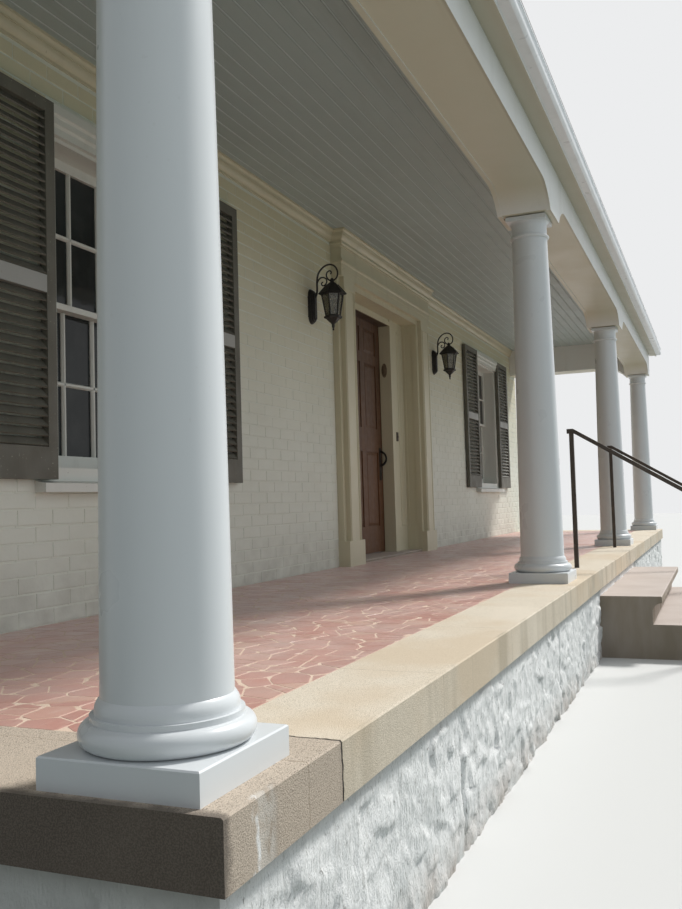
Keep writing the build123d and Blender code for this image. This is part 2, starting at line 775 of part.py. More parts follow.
for side, centre in window_x.items():
    for hand, direction in (("left", -1), ("right", 1)):
        shutter_x = centre + direction * (window_half_width + shutter_width / 2)
        shutter_y = wall_face - shutter_off_wall - shutter_thick / 2
        leaf_y = (shutter_y - shutter_thick / 2, shutter_y + shutter_thick / 2)
        clear_half_width = shutter_width / 2 - shutter_stile
        clear_x = (shutter_x - clear_half_width, shutter_x + clear_half_width)
        with BuildPart() as shutter:
            block((shutter_x - shutter_width / 2, shutter_x + shutter_width / 2), leaf_y,
                  (level(shutter_bottom), level(shutter_top)))
            lower_field = (shutter_bottom + foot_rail, mid_rail[0])
            upper_field = (mid_rail[1], shutter_top - top_rail)
            for low, high in (lower_field, upper_field):
                block(clear_x, leaf_y, (level(low), level(high)), mode=Mode.SUBTRACT)
                slats = round((high - low) / slat_pitch)
                pitch = (high - low) / slats
                with BuildSketch(Plane.YZ.offset(clear_x[0])):
                    for slat in range(slats):
                        with Locations((shutter_y, level(low) + (slat + 0.5) * pitch)):
                            Rectangle(slat_width, slat_thick, rotation=slat_tilt)
                extrude(amount=clear_x[1] - clear_x[0])
            for pin_x in clear_x:
                for pin_height in pin_heights:
                    pin_place = Plane((pin_x, leaf_y[1], level(pin_height)), z_dir=(0, 1, 0))
                    with Locations(pin_place):
                        Cylinder(pin_radius, shutter_off_wall, align=on_face)
        shutter.part.label = f"shutter_{side}_{hand}"
        export_step(shutter.part, f"parts/shutter_{side}_{hand}.step")

# Lanterns: a wall plate, a scrolled arm and a six-sided tapering lantern hung from it
lantern_half_spacing = 1528
lantern_reach = 173
plate_width = 100
plate_length = 255
plate_depth = 42
plate_taper = 12
plate_centre = 1893
cap_peak = 2058
cap_rings = ((15, cap_peak), (48, 2035), (66, 2014), (81, 1996), (98, 1968))
cap_eave = 1968
cage_bottom = 1805
finial_bottom = 1705
cage_top_radius = 78
cage_bottom_radius = 50
tray_radius = 66
tray_inner_radius = 53
tray_thick = 14
finial_neck = 36
finial_radius = 8
arm_bar = 13
arm_points = ((18, plate_centre + 60), (38, cap_peak), (64, 2144), (126, 2176), (190, 2156), (213, 2110),
              (203, 2078), (lantern_reach, cap_peak))

for side, direction in (("near", -1), ("far", 1)):
    lantern_x = facade_shift + direction * lantern_half_spacing
    lantern_y = wall_face - lantern_reach

    with BuildPart() as lantern:
        with BuildSketch(Plane((lantern_x, wall_face, level(plate_centre)), x_dir=(1, 0, 0),
                               z_dir=(0, -1, 0))):
            SlotOverall(plate_length, plate_width, rotation=90)
        extrude(amount=plate_depth, taper=plate_taper)
        with BuildSketch(Plane.YZ.offset(lantern_x - arm_bar / 2)):
            with BuildLine():
                arm = [(wall_face - reach, level(height)) for reach, height in arm_points]
                Line(arm[0], arm[1])
                ThreePointArc(*arm[1:4])
                ThreePointArc(*arm[3:6])
                ThreePointArc(*arm[5:8])
            trace(line_width=arm_bar)
        extrude(amount=arm_bar)
        for (low_radius, low), (high_radius, high) in zip(cap_rings[1:], cap_rings):
            with BuildSketch(Plane((lantern_x, lantern_y, level(low)))):
                RegularPolygon(low_radius, 6)
            with BuildSketch(Plane((lantern_x, lantern_y, level(high)))):
                RegularPolygon(high_radius, 6)
            loft()
        with BuildSketch(Plane((lantern_x, lantern_y, level(cage_bottom)))):
            RegularPolygon(cage_bottom_radius, 6)
        with BuildSketch(Plane((lantern_x, lantern_y, level(cap_eave)))):
            RegularPolygon(cage_top_radius, 6)
        loft()
        with BuildSketch(Plane((lantern_x, lantern_y, level(cage_bottom - tray_thick)))):
            RegularPolygon(tray_radius, 6)
        extrude(amount=tray_thick)
        with BuildSketch(Plane((lantern_x, lantern_y, level(cage_bottom - tray_thick)))):
            RegularPolygon(tray_inner_radius, 6)
        with BuildSketch(Plane((lantern_x, lantern_y, level(finial_bottom + finial_neck)))):
            RegularPolygon(finial_radius, 6)
        loft()
        with BuildSketch(Plane((lantern_x, lantern_y, level(finial_bottom)))):
            RegularPolygon(finial_radius, 6)
        extrude(amount=finial_neck)
    lantern.part.label = f"lantern_{side}"
    export_step(lantern.part, f"parts/lantern_{side}.step")
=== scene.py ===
import math
import random

import bmesh
import bpy
from mathutils import Matrix, Vector, noise


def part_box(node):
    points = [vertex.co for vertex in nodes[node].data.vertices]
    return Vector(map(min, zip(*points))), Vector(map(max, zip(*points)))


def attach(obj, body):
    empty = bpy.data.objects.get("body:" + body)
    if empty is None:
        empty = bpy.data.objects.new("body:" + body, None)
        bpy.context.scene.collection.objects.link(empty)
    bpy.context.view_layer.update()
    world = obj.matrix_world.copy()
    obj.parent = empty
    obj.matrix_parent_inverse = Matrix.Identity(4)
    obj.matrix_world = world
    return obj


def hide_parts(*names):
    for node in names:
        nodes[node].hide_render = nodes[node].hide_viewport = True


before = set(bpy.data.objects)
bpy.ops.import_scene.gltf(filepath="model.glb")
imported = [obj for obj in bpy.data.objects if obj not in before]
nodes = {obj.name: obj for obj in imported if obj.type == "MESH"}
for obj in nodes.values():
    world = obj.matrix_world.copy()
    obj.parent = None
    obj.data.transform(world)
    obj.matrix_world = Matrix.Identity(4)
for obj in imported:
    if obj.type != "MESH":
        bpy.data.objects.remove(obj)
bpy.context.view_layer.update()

# A colonnaded front porch, in metres. X runs along it, +Y is toward the house and +Z is up.
# Near is the end by the camera (-X), and out is away from a wall or face.
scene = bpy.context.scene
chance = random.Random(7)
noise.seed_set(7)  # unseeded, noise_vector changes from run to run
body = "porch"  # the fixed body, which carries every piece made here

# Sizes shared with the solids
floor_z = 0.58
ceiling_z = floor_z + 2.553
stone_top = floor_z - 0.122
wall_y = -0.15
wall_end = 5.948
outer_wall = 5.911
facade_x = 0.285
window_x = {"near": facade_x - 3.79, "far": facade_x + 3.79}
window_half = 0.54
window_top = 2.262
sill_low, sill_top, sill_ear = 0.56, 0.61, 0.096
shutter_width = 0.56
shutter_stile = 0.058
shutter_rail = (1.411, 1.487)
surround_half = 1.13
surround_y = wall_y - 0.086
casing_y = wall_y + 0.1
beam_face = -2.0
eave_height = 2.381
coping_face = -2.07
coping_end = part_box("coping_near_end")[0].x
slab_length = 0.9
brick_pitch = 0.213
ceiling_lo, ceiling_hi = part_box("ceiling")
board_count = 19
board = (ceiling_hi.y - ceiling_lo.y) / board_count


def level(height):
    """A height above the porch floor, as a height above the ground."""
    return floor_z + height


def srgb(red, green, blue):
    """A colour given in 0-255 steps, as linear RGBA."""
    parts = [channel / 255 for channel in (red, green, blue)]
    return tuple(p / 12.92 if p <= 0.04045 else ((p + 0.055) / 1.055) ** 2.4 for p in parts) + (1.0,)


class Nodes:
    """A node tree, with short ways to add to it."""

    def __init__(self, tree):
        self.tree = tree

    def node(self, kind, inputs=None, **settings):
        made = self.tree.nodes.new("ShaderNode" + kind)
        for key, value in settings.items():
            setattr(made, key, value)
        for key, value in (inputs or {}).items():
            if isinstance(value, bpy.types.NodeSocket):
                self.tree.links.new(value, made.inputs[key])
            else:
                made.inputs[key].default_value = value
        return made

    def ramp(self, value, low, high, start=0.0, stop=1.0):
        """A value carried from one range to another and held at its ends."""
        inputs = {"Value": value, "From Min": low, "From Max": high, "To Min": start, "To Max": stop}
        return self.node("MapRange", inputs, clamp=True).outputs[0]

    def maths(self, operation, one, other=0.0):
        return self.node("Math", {0: one, 1: other}, operation=operation).outputs[0]

    def backdrop_ray(self):
        """1 for rays from the camera, a glossy face or glass, which see a plain backdrop."""
        rays = self.node("LightPath").outputs
        bent = self.maths("MAXIMUM", rays["Is Glossy Ray"], rays["Is Transmission Ray"])
        return self.maths("MAXIMUM", rays["Is Camera Ray"], bent)


class Finish(Nodes):
    """One procedural material: a principled shader and the nodes that feed it."""

    def __init__(self, name, **sockets):
        self.material = bpy.data.materials.new(name)
        self.material.use_nodes = True
        super().__init__(self.material.node_tree)
        self.shader = self.tree.nodes["Principled BSDF"]
        for socket, value in {"Roughness": 0.6, **sockets}.items():
            self.shader.inputs[socket.replace("_", " ")].default_value = value
        self.object_place = self.node("TexCoord").outputs["Object"]
        self.normal = None

    def place(self, stretch, turn=(0, 0, 0)):
        """Object space in metres, stretched (upright, for a single number) and turned."""
        scale = stretch if isinstance(stretch, tuple) else (1, 1, stretch)
        inputs = {"Vector": self.object_place, "Scale": scale, "Rotation": turn}
        return self.node("Mapping", inputs).outputs[0]

    def noise(self, scale, detail, stretch=1, rough=0.5, warp=0.0):
        inputs = {"Vector": self.place(stretch), "Scale": scale, "Detail": detail, "Roughness": rough,
                  "Distortion": warp}
        return self.node("TexNoise", inputs).outputs["Fac"]

    def patches(self, scale, detail, low, high, most=1.0, stretch=1, rough=0.5, warp=0.0, least=0.0):
        """Patches where a noise passes the low limit, full where it reaches the high one."""
        return self.ramp(self.noise(scale, detail, stretch, rough, warp), low, high, least, most)

    def cells(self, scale, stretch=1):
        return self.node("TexVoronoi", {"Vector": self.place(stretch), "Scale": scale}).outputs["Distance"]

    def axis(self, name):
        return self.node("SeparateXYZ", {0: self.object_place}).outputs[name]

    def own_tone(self):
        return self.node("Attribute", attribute_name="tone").outputs["Fac"]

    def along(self, name, low, high, start=0.0, stop=1.0):
        """A ramp between two places on an axis."""
        return self.ramp(self.axis(name), low, high, start, stop)

    def facing(self, name, low, high):
        """How far the surface faces along an axis, from 0 at the first limit to 1 at the second."""
        normal = self.node("NewGeometry").outputs["Normal"]
        return self.ramp(self.node("SeparateXYZ", {0: normal}).outputs[name], low, high)

    def times(self, one, *others):
        for other in others:
            one = self.maths("MULTIPLY", one, other)
        return one

    def between(self, value, low, high, soft):
        """1 between two limits of a coordinate, with soft edges."""
        return self.times(self.ramp(value, low - soft, low + soft),
                          self.ramp(value, high - soft, high + soft, 1.0, 0.0))

    def colour(self, base, *layers):
        """Layers of (factor, red, green, blue) over a base colour, or with no base over what is there."""
        if base:
            self.shown = srgb(*base)
        for factor, *tint in layers:
            inputs = {0: factor, 6: self.shown, 7: srgb(*tint)}
            self.shown = self.node("Mix", inputs, data_type="RGBA").outputs[2]
        self.tree.links.new(self.shown, self.shader.inputs["Base Color"])

    def roughness(self, scale, detail, low, high):
        """Roughness that drifts between two values."""
        drift = self.patches(scale, detail, 0.3, 0.7, high, least=low)
        self.tree.links.new(drift, self.shader.inputs["Roughness"])

    def bump(self, height, distance, strength):
        inputs = {"Height": height, "Distance": distance, "Strength": strength}
        if self.normal is not None:
            inputs["Normal"] = self.normal
        self.normal = self.node("Bump", inputs).outputs[0]
        self.tree.links.new(self.normal, self.shader.inputs["Normal"])

    def ripple(self, scale, detail, distance, strength, stretch=1, rough=0.5):
        """A bump in the form of a noise."""
        self.bump(self.noise(scale, detail, stretch, rough), distance, strength)


def patched(mat, base, layers, ripple, gloss=None):
    """A base colour under patches, each given by its noise and colour, and a rippled surface."""
    mat.colour(base, *((mat.patches(*spots), *tint) for spots, tint in layers))
    mat.ripple(*ripple)
    if gloss:
        mat.roughness(*gloss)


def brushed_paint(mat, base, shade, dirt, gloss, darkening, brush=0.0006, specks=0.4):
    """Brushed paint: slow changes of tone, faint streaks, a few marks and brush ripple."""
    layers = [((0.9, 4, 0.35, 0.65, 0.55), shade),
              ((5.0, 5, 0.52, 0.78, darkening, (1.6, 1.6, 0.16), 0.6), dirt), ((60, 1, 0.76, 0.79, specks), dirt)]
    patched(mat, base, layers, (46, 3, brush, 0.5, 0.2), (6, 3, *gloss))


cream = ((205, 199, 173), (196, 188, 161), (148, 138, 110), (0.38, 0.52), 0.2)


def frame_paint(mat):
    """The cream paint, with painted shade, as dark as the door, on the underside of the head over the door."""
    brushed_paint(mat, *cream)
    head = mat.between(mat.axis("Z"), level(2.09), level(2.11), 0.004)
    # Painted shade on the underside of the head over the door, as dark as the door.
    under = mat.times(mat.facing("Z", -0.8, -0.95), mat.along("Y", -0.055, -0.045), head)
    mat.colour(None, (under, 70, 54, 44))


def trim_paint(mat):
    """Off-white paint of the beams and eave, with painted shade on the faces turned down and a painted shade
    line in the joint under the eave.
    """
    tone = mat.patches(0.9, 4, 0.35, 0.65, 0.6)
    streaks = mat.patches(5.0, 5, 0.52, 0.78, 0.22, (1.6, 1.6, 0.16), 0.6)
    # Faces turned down are painted darker, deepest next to the beam face: painted shade.
    under = mat.facing("Z", -0.6, -0.95)
    eave_z = level(eave_height)
    # A dark line in the crease under the eave: painted shade.
    joint = mat.times(mat.between(mat.axis("Z"), eave_z - 0.004, eave_z - 0.001, 0.0008),
                      mat.between(mat.axis("Y"), beam_face - 0.0062, beam_face, 0.001))
    mat.colour((230, 231, 228), (tone, 220, 220, 215), (streaks, 178, 175, 163),
               (mat.times(under, 0.9), 204, 199, 176),
               (mat.times(under, mat.along("Y", beam_face + 0.01, beam_face), 0.8), 178, 170, 150),
               (joint, 96, 90, 80))
    mat.roughness(6, 3, 0.36, 0.5)
    mat.ripple(46, 3, 0.0005, 0.5, 0.2)


def ceiling_paint(mat):
    """Grey-blue boards with a painted highlight on each bead, painted shade in the groove beside it and a dark
    line at each joint between boards.
    """
    across = mat.maths("SUBTRACT", mat.axis("Y"), ceiling_lo.y)
    place = mat.maths("FRACT", mat.maths("DIVIDE", across, board))
    # Painted highlight along each bead; painted shade in the groove beside it, with a dark line at each board
    # joint.
    bead = mat.between(place, 0.89, 0.96, 0.012)
    groove = mat.maths("MAXIMUM", mat.between(place, 0.855, 0.875, 0.008), mat.ramp(place, 0.985, 0.992))
    tone = mat.patches(1.1, 4, 0.35, 0.65, 0.7, (0.25, 1, 1))
    marks = mat.patches(3.0, 5, 0.56, 0.8, 0.3, (0.3, 3, 1), 0.6)
    mat.colour((172, 184, 182), (tone, 163, 174, 171), (marks, 136, 138, 128),
               (mat.times(bead, 0.7), 206, 216, 214), (mat.times(groove, 0.6), 108, 112, 106))
    mat.roughness(6, 3, 0.4, 0.55)
    mat.ripple(40, 3, 0.0005, 0.5, (0.2, 1, 1))


def brick_paint(mat):
    """Thick old paint over brick: chalky, with dust at the foot of the wall and painted warm light on the front
    faces higher up.
    """
    patch = mat.ramp(mat.cells(7, 3), 0.1, 0.9, 0.0, 0.25)
    foot = mat.times(mat.along("Z", floor_z, floor_z + 0.35, 0.5, 0.0), mat.patches(9, 4, 0.3, 0.7))
    # Painted warm light on the front faces, growing up the wall toward its head.
    head = mat.times(mat.along("Z", level(0.9), level(2.2), 0.0, 0.9), mat.facing("Y", -0.3, -0.6))
    mat.colour((223, 225, 213), (mat.patches(1.6, 5, 0.35, 0.68, 0.6), 211, 212, 199),
               (patch, 229, 231, 221), (head, 210, 202, 171), (foot, 160, 156, 145))
    mat.roughness(8, 3, 0.55, 0.75)
    mat.ripple(60, 5, 0.0016, 0.7)
    mat.ripple(260, 2, 0.0005, 0.5)


def wall_paint(mat):
    """The wall behind its bricks: mortar on the face, courses pressed into the paint elsewhere."""
    upright = mat.place((1, 1, 1), (math.radians(90), 0, 0))
    courses = mat.node("TexBrick", {"Vector": upright, "Scale": 1.0, "Mortar Size": 0.006,
                                    "Mortar Smooth": 0.6, "Brick Width": brick_pitch, "Row Height": 0.0699})
    mat.colour((223, 225, 213), (mat.patches(1.6, 5, 0.35, 0.68, 0.6), 211, 212, 199))
    mat.bump(mat.maths("SUBTRACT", 1.0, courses.outputs["Fac"]), 0.004, 0.8)
    mat.ripple(60, 5, 0.0016, 0.6)


def stone_paint(mat):
    """White paint on rough split stone: grey pits in upright strokes, painted shade along the top under the
    coping and on the near end, soil at the foot.
    """
    strokes = mat.patches(42, 7, 0.53, 0.64, 0.7, (1.8, 1.8, 0.36), 0.76, 0.4)
    pits = mat.times(mat.patches(100, 5, 0.59, 0.67, 0.8, 0.42, 0.72), mat.facing("X", -0.97, -0.6))
    # Painted shade: a darker band along the top of the stone, under the coping.
    darkening = mat.along("Z", stone_top - 0.05, stone_top - 0.02, 0.0, 0.55)
    splash = mat.times(mat.along("Z", 0.0, 0.14, 0.6, 0.0), mat.patches(7, 5, 0.32, 0.62))
    # Faces turned to the near end (-X) are painted greyer: painted shade.
    mat.colour((238, 238, 236), (mat.patches(2.2, 4, 0.35, 0.7), 226, 227, 225),
               (strokes, 192, 191, 187), (mat.facing("X", -0.6, -0.9), 204, 204, 200),
               (darkening, 178, 177, 172), (pits, 128, 125, 119), (splash, 160, 138, 120))
    mat.ripple(30, 7, 0.006, 0.75, (1.5, 1.5, 0.6), 0.7)
    mat.ripple(75, 6, 0.004, 0.9, (1.5, 1.5, 0.4), 0.7)
    mat.ripple(120, 3, 0.002, 0.7)


# Marks at fixed places along the coping
joint_phase = 40.74  # puts the joints at -4.74 and every slab length from there
crack_x = (-5.473, -5.4665)
drip_x = (-5.84, -5.775)
streak_x = (-5.848, -5.834)


def cast_stone(mat, face, top, shaded, stains):
    """Cast stone: sandy grain, rusty and pale patches, faint joints, a crack and drips, with painted light on
    the top faces and painted shade on the near end.
    """
    x = mat.axis("X")
    grain = mat.patches(330, 2, 0.42, 0.62, 0.7)
    front = mat.along("Y", coping_face + 0.01, coping_face)
    wash = mat.times(mat.patches(7, 4, 0.5, 0.68, 0.5, 0.05), front)
    wander = mat.patches(24, 3, 0.3, 0.7, 0.005, least=-0.005)
    slab = mat.maths("FRACT", mat.maths("DIVIDE", mat.maths("ADD", x, joint_phase), slab_length))
    slab = mat.maths("ADD", slab, mat.maths("DIVIDE", wander, slab_length))
    joint = mat.times(mat.between(slab, 0.0085, 0.0115, 0.0012), 0.55)
    crack = mat.between(mat.maths("ADD", x, wander), *crack_x, 0.0012)
    near_face = mat.facing("X", -0.5, -0.9)
    # Painted shade on the faces turned to the near end.
    near_end_shade = mat.patches(6, 5, 0.36, 0.62, 0.94, 0.7, 0.6, least=0.72)
    lip = mat.ramp(mat.maths("ADD", x, mat.times(wander, 2.0)), coping_end + 0.03, coping_end + 0.008)
    edge = mat.maths("ADD", x, mat.patches(30, 3, 0.3, 0.7, 0.014, 0.4, least=-0.014))
    broken = mat.times(mat.patches(60, 4, 0.36, 0.56, stretch=0.5), front)
    # Faces turned up take the pale top colour: painted light on the top.
    mat.colour(face, (mat.times(mat.facing("Z", 0.5, 0.9), 0.75), *top), (grain, *top),
               (mat.patches(420, 2, 0.52, 0.64, 0.8), *shaded),
               (mat.patches(1.7, 4, 0.46, 0.6, stains), 200, 180, 152),
               (mat.patches(2.6, 5, 0.52, 0.7, 0.5), *top), (wash, *shaded),
               (mat.times(near_face, near_end_shade), *shaded), (mat.times(lip, 0.75), *shaded),
               (mat.times(near_face, grain, 0.2), *face),
               (mat.times(mat.between(edge, *drip_x, 0.012), broken, 0.5), 204, 200, 192),
               (mat.times(mat.between(edge, *streak_x, 0.004), broken, 0.85), 232, 232, 230),
               (joint, 120, 104, 82), (crack, 46, 40, 34))
    mat.ripple(360, 3, 0.0018, 0.9)
    mat.ripple(14, 4, 0.0025, 0.5)


def concrete(mat):
    """Pale rubbed concrete of the steps; its upright faces are darker brown, partly stains and partly painted
    shade.
    """
    grain = mat.patches(300, 2, 0.38, 0.62, 0.4)
    tone = mat.patches(3, 5, 0.35, 0.7, 0.7)
    # Upright faces are darker brown: partly stains, partly painted shade.
    side_shade_and_stain = mat.times(mat.facing("Z", 0.8, 0.2), mat.patches(6, 5, 0.3, 0.6, 0.95, 0.3, least=0.45))
    mat.colour((188, 175, 166), (grain, 168, 156, 145), (tone, 198, 187, 179), (side_shade_and_stain, 142, 130, 114))
    mat.ripple(260, 4, 0.0012, 0.7)


def terracotta(mat):
    """Broken terracotta tile: each piece has its own tone, with scratches and pale patches that are partly dust
    and partly a painted sheen, less at the near end.
    """
    tone = mat.own_tone()
    # Pale patches, partly dust and partly a painted sheen, paler away from the near end.
    dust_and_sheen = mat.times(mat.patches(3.2, 6, 0.36, 0.66, 0.68, rough=0.6, least=0.12),
                     mat.along("X", -5.9, -4.7, 0.35, 1.0))
    scratches = mat.patches(28, 4, 0.55, 0.75, 0.4, (0.5, 1.4, 1))
    specks = mat.patches(240, 2, 0.6, 0.7, 0.5)
    mat.colour((180, 112, 94), (mat.ramp(tone, 0.0, 0.75), 194, 132, 114),
               (mat.ramp(tone, 0.82, 1.0), 202, 154, 130), (dust_and_sheen, 208, 180, 170),
               (scratches, 214, 186, 172), (specks, 140, 92, 78))
    mat.roughness(9, 4, 0.3, 0.52)
    mat.ripple(70, 4, 0.0005, 0.5)


def shutter_paint(mat):
    """Weathered olive-grey shutter paint with chalky patches, much paler on the middle rail."""
    chalk = mat.patches(11, 5, 0.42, 0.72, 0.6, 0.35)
    from_facade = mat.maths("ABSOLUTE", mat.maths("SUBTRACT", mat.axis("X"), facade_x))
    from_window = mat.maths("ABSOLUTE", mat.maths("SUBTRACT", from_facade, window_x["far"] - facade_x))
    inner, outer = window_half + shutter_stile, window_half + shutter_width - shutter_stile
    rail = mat.times(mat.between(mat.axis("Z"), *map(level, shutter_rail), 0.002),
                     mat.between(from_window, inner, outer, 0.001), 0.85)
    nicks = mat.patches(90, 2, 0.69, 0.74, 0.8)
    mat.colour((92, 90, 80), (chalk, 110, 108, 98), (rail, 172, 172, 168), (nicks, 150, 146, 132))
    mat.roughness(9, 3, 0.5, 0.72)
    mat.ripple(70, 4, 0.0008, 0.6, 0.15)


def door_wood(mat):
    """Dark red-brown timber with upright grain; black iron where the hinges stand on its back."""
    grain = mat.patches(16, 8, 0.42, 0.62, 1.0, (2.4, 2.4, 0.11), 0.62, 0.8)
    fine = mat.patches(120, 4, 0.5, 0.66, 0.6, (2, 2, 0.05))
    weather = mat.along("Z", 1.2, 2.2, 0.35, 0.0)
    hinge = mat.along("Y", 0.0973, 0.0976)
    mat.colour((80, 58, 44), (grain, 102, 74, 52), (fine, 58, 42, 33), (weather, 124, 82, 52),
               (hinge, 44, 42, 40))
    mat.roughness(20, 4, 0.46, 0.6)
    mat.ripple(60, 6, 0.0009, 0.6, (2.2, 2.2, 0.1))


def rail_paint(mat):
    """Brown-black paint on the handrails, paler along the top: partly wear and partly a painted highlight."""
    # Faces turned up are paler: partly wear, partly a painted highlight.
    mat.colour((62, 54, 46), (mat.patches(26, 5, 0.52, 0.72, 0.6, 0.5), 88, 76, 62),
               (mat.times(mat.facing("Z", 0.3, 0.8), 0.6), 128, 116, 100))
    mat.roughness(30, 3, 0.38, 0.56)
    mat.ripple(150, 3, 0.0005, 0.6)


def mineral_grit(mat):
    """Mineral roof shingles: each tab has its own tone under a coarse grit."""
    mat.colour((84, 78, 72), (mat.own_tone(), 122, 114, 104), (mat.patches(480, 2, 0.4, 0.62, 0.7), 104, 98, 92),
               (mat.patches(2.4, 6, 0.6, 0.76, 0.4), 88, 88, 66))
    mat.ripple(420, 2, 0.0015, 0.9)


def seedy_glass(mat):
    """Lantern glass with small bubbles."""
    mat.colour((186, 184, 168), (mat.patches(24, 4, 0.42, 0.7, 0.7), 124, 120, 102))
    mat.bump(mat.cells(120), 0.0004, 0.4)


finishes, slots = {}, {}


def coat(key, name, slot, dress, *looks, **sockets):
    """A material under its key, with its slot, how it is dressed and plain values for its shader."""
    mat = Finish(name, **sockets)
    dress(mat, *looks)
    finishes[key], slots[key] = mat.material, slot


coat("stone", "painted_rough_stone", "painted_stone", stone_paint, Roughness=0.75)
coat("coping", "buff_cast_stone", "buff_stone", cast_stone,
     (200, 188, 168), (224, 213, 195), (158, 146, 124), 0.6, Roughness=0.85)
coat("worn", "worn_cast_stone", "buff_stone", cast_stone,
     (182, 167, 150), (194, 180, 163), (76, 68, 60), 0.1, Roughness=0.85)
coat("concrete", "pale_concrete", "concrete", concrete, Roughness=0.85)
coat("tile", "terracotta_tile", "terracotta_tile", terracotta, Sheen_Weight=0.35, Sheen_Roughness=0.4)
coat("joint", "cream_tile_joint", "terracotta_tile", patched, (222, 200, 180),
     [((5, 5, 0.35, 0.7), (208, 184, 164)), ((260, 2, 0.55, 0.66, 0.6), (180, 154, 134))],
     (220, 3, 0.0008, 0.8), Roughness=0.9)
coat("brick", "painted_brick", "painted_brick", brick_paint)
coat("wall", "painted_wall_core", "painted_brick", wall_paint, Roughness=0.7)
coat("white", "white_gloss_paint", "white_paint", brushed_paint,
     (220, 223, 224), (212, 216, 218), (186, 187, 181), (0.27, 0.3), 0.05, 0.0002, 0.1)
coat("cream", "cream_trim_paint", "cream_paint", brushed_paint, *cream)
coat("frame", "door_frame_paint", "cream_paint", frame_paint)
coat("trim", "white_trim_paint", "cream_paint", trim_paint)
coat("sash", "sash_paint", "cream_paint", brushed_paint,
     (216, 217, 210), (205, 205, 196), (150, 147, 132), (0.36, 0.5), 0.24)
coat("ceiling", "grey_ceiling_paint", "ceiling_paint", ceiling_paint)
coat("shutter", "shutter_paint", "shutter_paint", shutter_paint)
coat("wood", "door_wood", "door_wood", door_wood, Specular_IOR_Level=0.3)
coat("iron", "black_iron", "black_iron", patched, (44, 42, 40),
     [((34, 5, 0.56, 0.72, 0.6), (66, 61, 54)), ((60, 4, 0.64, 0.72, 0.5), (92, 66, 48))],
     (160, 3, 0.0006, 0.6), (30, 3, 0.42, 0.62), Metallic=0.35)
coat("rail", "rail_paint", "black_iron", rail_paint, Metallic=0.2)
coat("bronze", "brown_bronze", "black_iron", patched, (112, 98, 80),
     [((40, 4, 0.46, 0.66, 0.7), (142, 128, 108)), ((70, 3, 0.6, 0.7, 0.6), (70, 62, 52))],
     (150, 3, 0.0005, 0.6), (30, 3, 0.4, 0.55), Metallic=0.3)
coat("gutter", "gutter_paint", "gutter_metal", patched, (236, 238, 240),
     [((9, 5, 0.5, 0.72, 0.4, 0.3), (216, 218, 218)), ((50, 3, 0.72, 0.76, 0.3), (170, 168, 162))],
     (4, 2, 0.001, 0.4), (10, 3, 0.26, 0.4))
coat("shingle", "mineral_shingles", "roof_shingle", mineral_grit, Roughness=0.95)
# The glass: a dark pane painted as the shade of the room behind, with paler patches that are painted
# reflections.
coat("glass", "window_glass", "window_glass", patched, (26, 29, 29),
     [((1.4, 3, 0.4, 0.66, 1.0, 0.7), (46, 50, 50)), ((7, 5, 0.5, 0.75, 0.3), (74, 77, 75))],
     (3.2, 2, 0.004, 0.5), Roughness=0.06, Specular_IOR_Level=0.2)
coat("seedy", "seedy_glass", "window_glass", seedy_glass, Roughness=0.12,
     Transmission_Weight=0.78, IOR=1.45)
coat("candle", "candle_sleeve", "white_paint", patched, (226, 218, 196),
     [((40, 3, 0.5, 0.7, 0.6, 0.2), (196, 184, 152))], (60, 3, 0.001, 0.6, 0.3),
     Roughness=0.5)

# The solids and their finishes
worn_by = {
    "stone": ["house_foundation", "front_foundation", "near_end_foundation", "far_end_foundation"],
    "coping": ["coping_front_near", "coping_front_middle", "coping_front_far", "coping_far_end"],
    "worn": ["coping_near_end"],
    "concrete": ["porch_slab", "step_upper", "step_lower", "door_sill"],
    "tile": ["tile_floor"],
    "wall": ["wall_near", "wall_far", "wall_over_door"],
    "white": [f"column_{n}_{part}" for n in (1, 2, 3, 4) for part in ("base", "shaft")],
    "cream": ["door_surround", "wall_crown"],
    "frame": ["door_frame"],
    "trim": ["front_beam", "near_end_beam", "far_end_beam", "near_gable", "far_gable", "eave"],
    "sash": [f"window_{side}_{part}" for side in window_x for part in ("frame", "sashes")],
    "ceiling": ["ceiling"],
    "shutter": [f"shutter_{side}_{hand}" for side in window_x for hand in ("left", "right")],
    "wood": ["front_door"],
    "iron": ["door_handle", "lantern_near", "lantern_far"],
    "rail": ["handrail_near", "handrail_far"],
    "gutter": ["gutter"],
    "shingle": ["roof"],
    "glass": ["window_near_glass", "window_far_glass"],
}
for key, names in worn_by.items():
    for name in names:
        materials = nodes[name].data.materials
        materials.clear()
        materials.append(finishes[key])


def stand(name, data, finish):
    """A piece of the porch from a mesh or a curve."""
    data.materials.append(finishes[finish])
    piece = bpy.data.objects.new(name, data)
    scene.collection.objects.link(piece)
    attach(piece, body)
    return piece


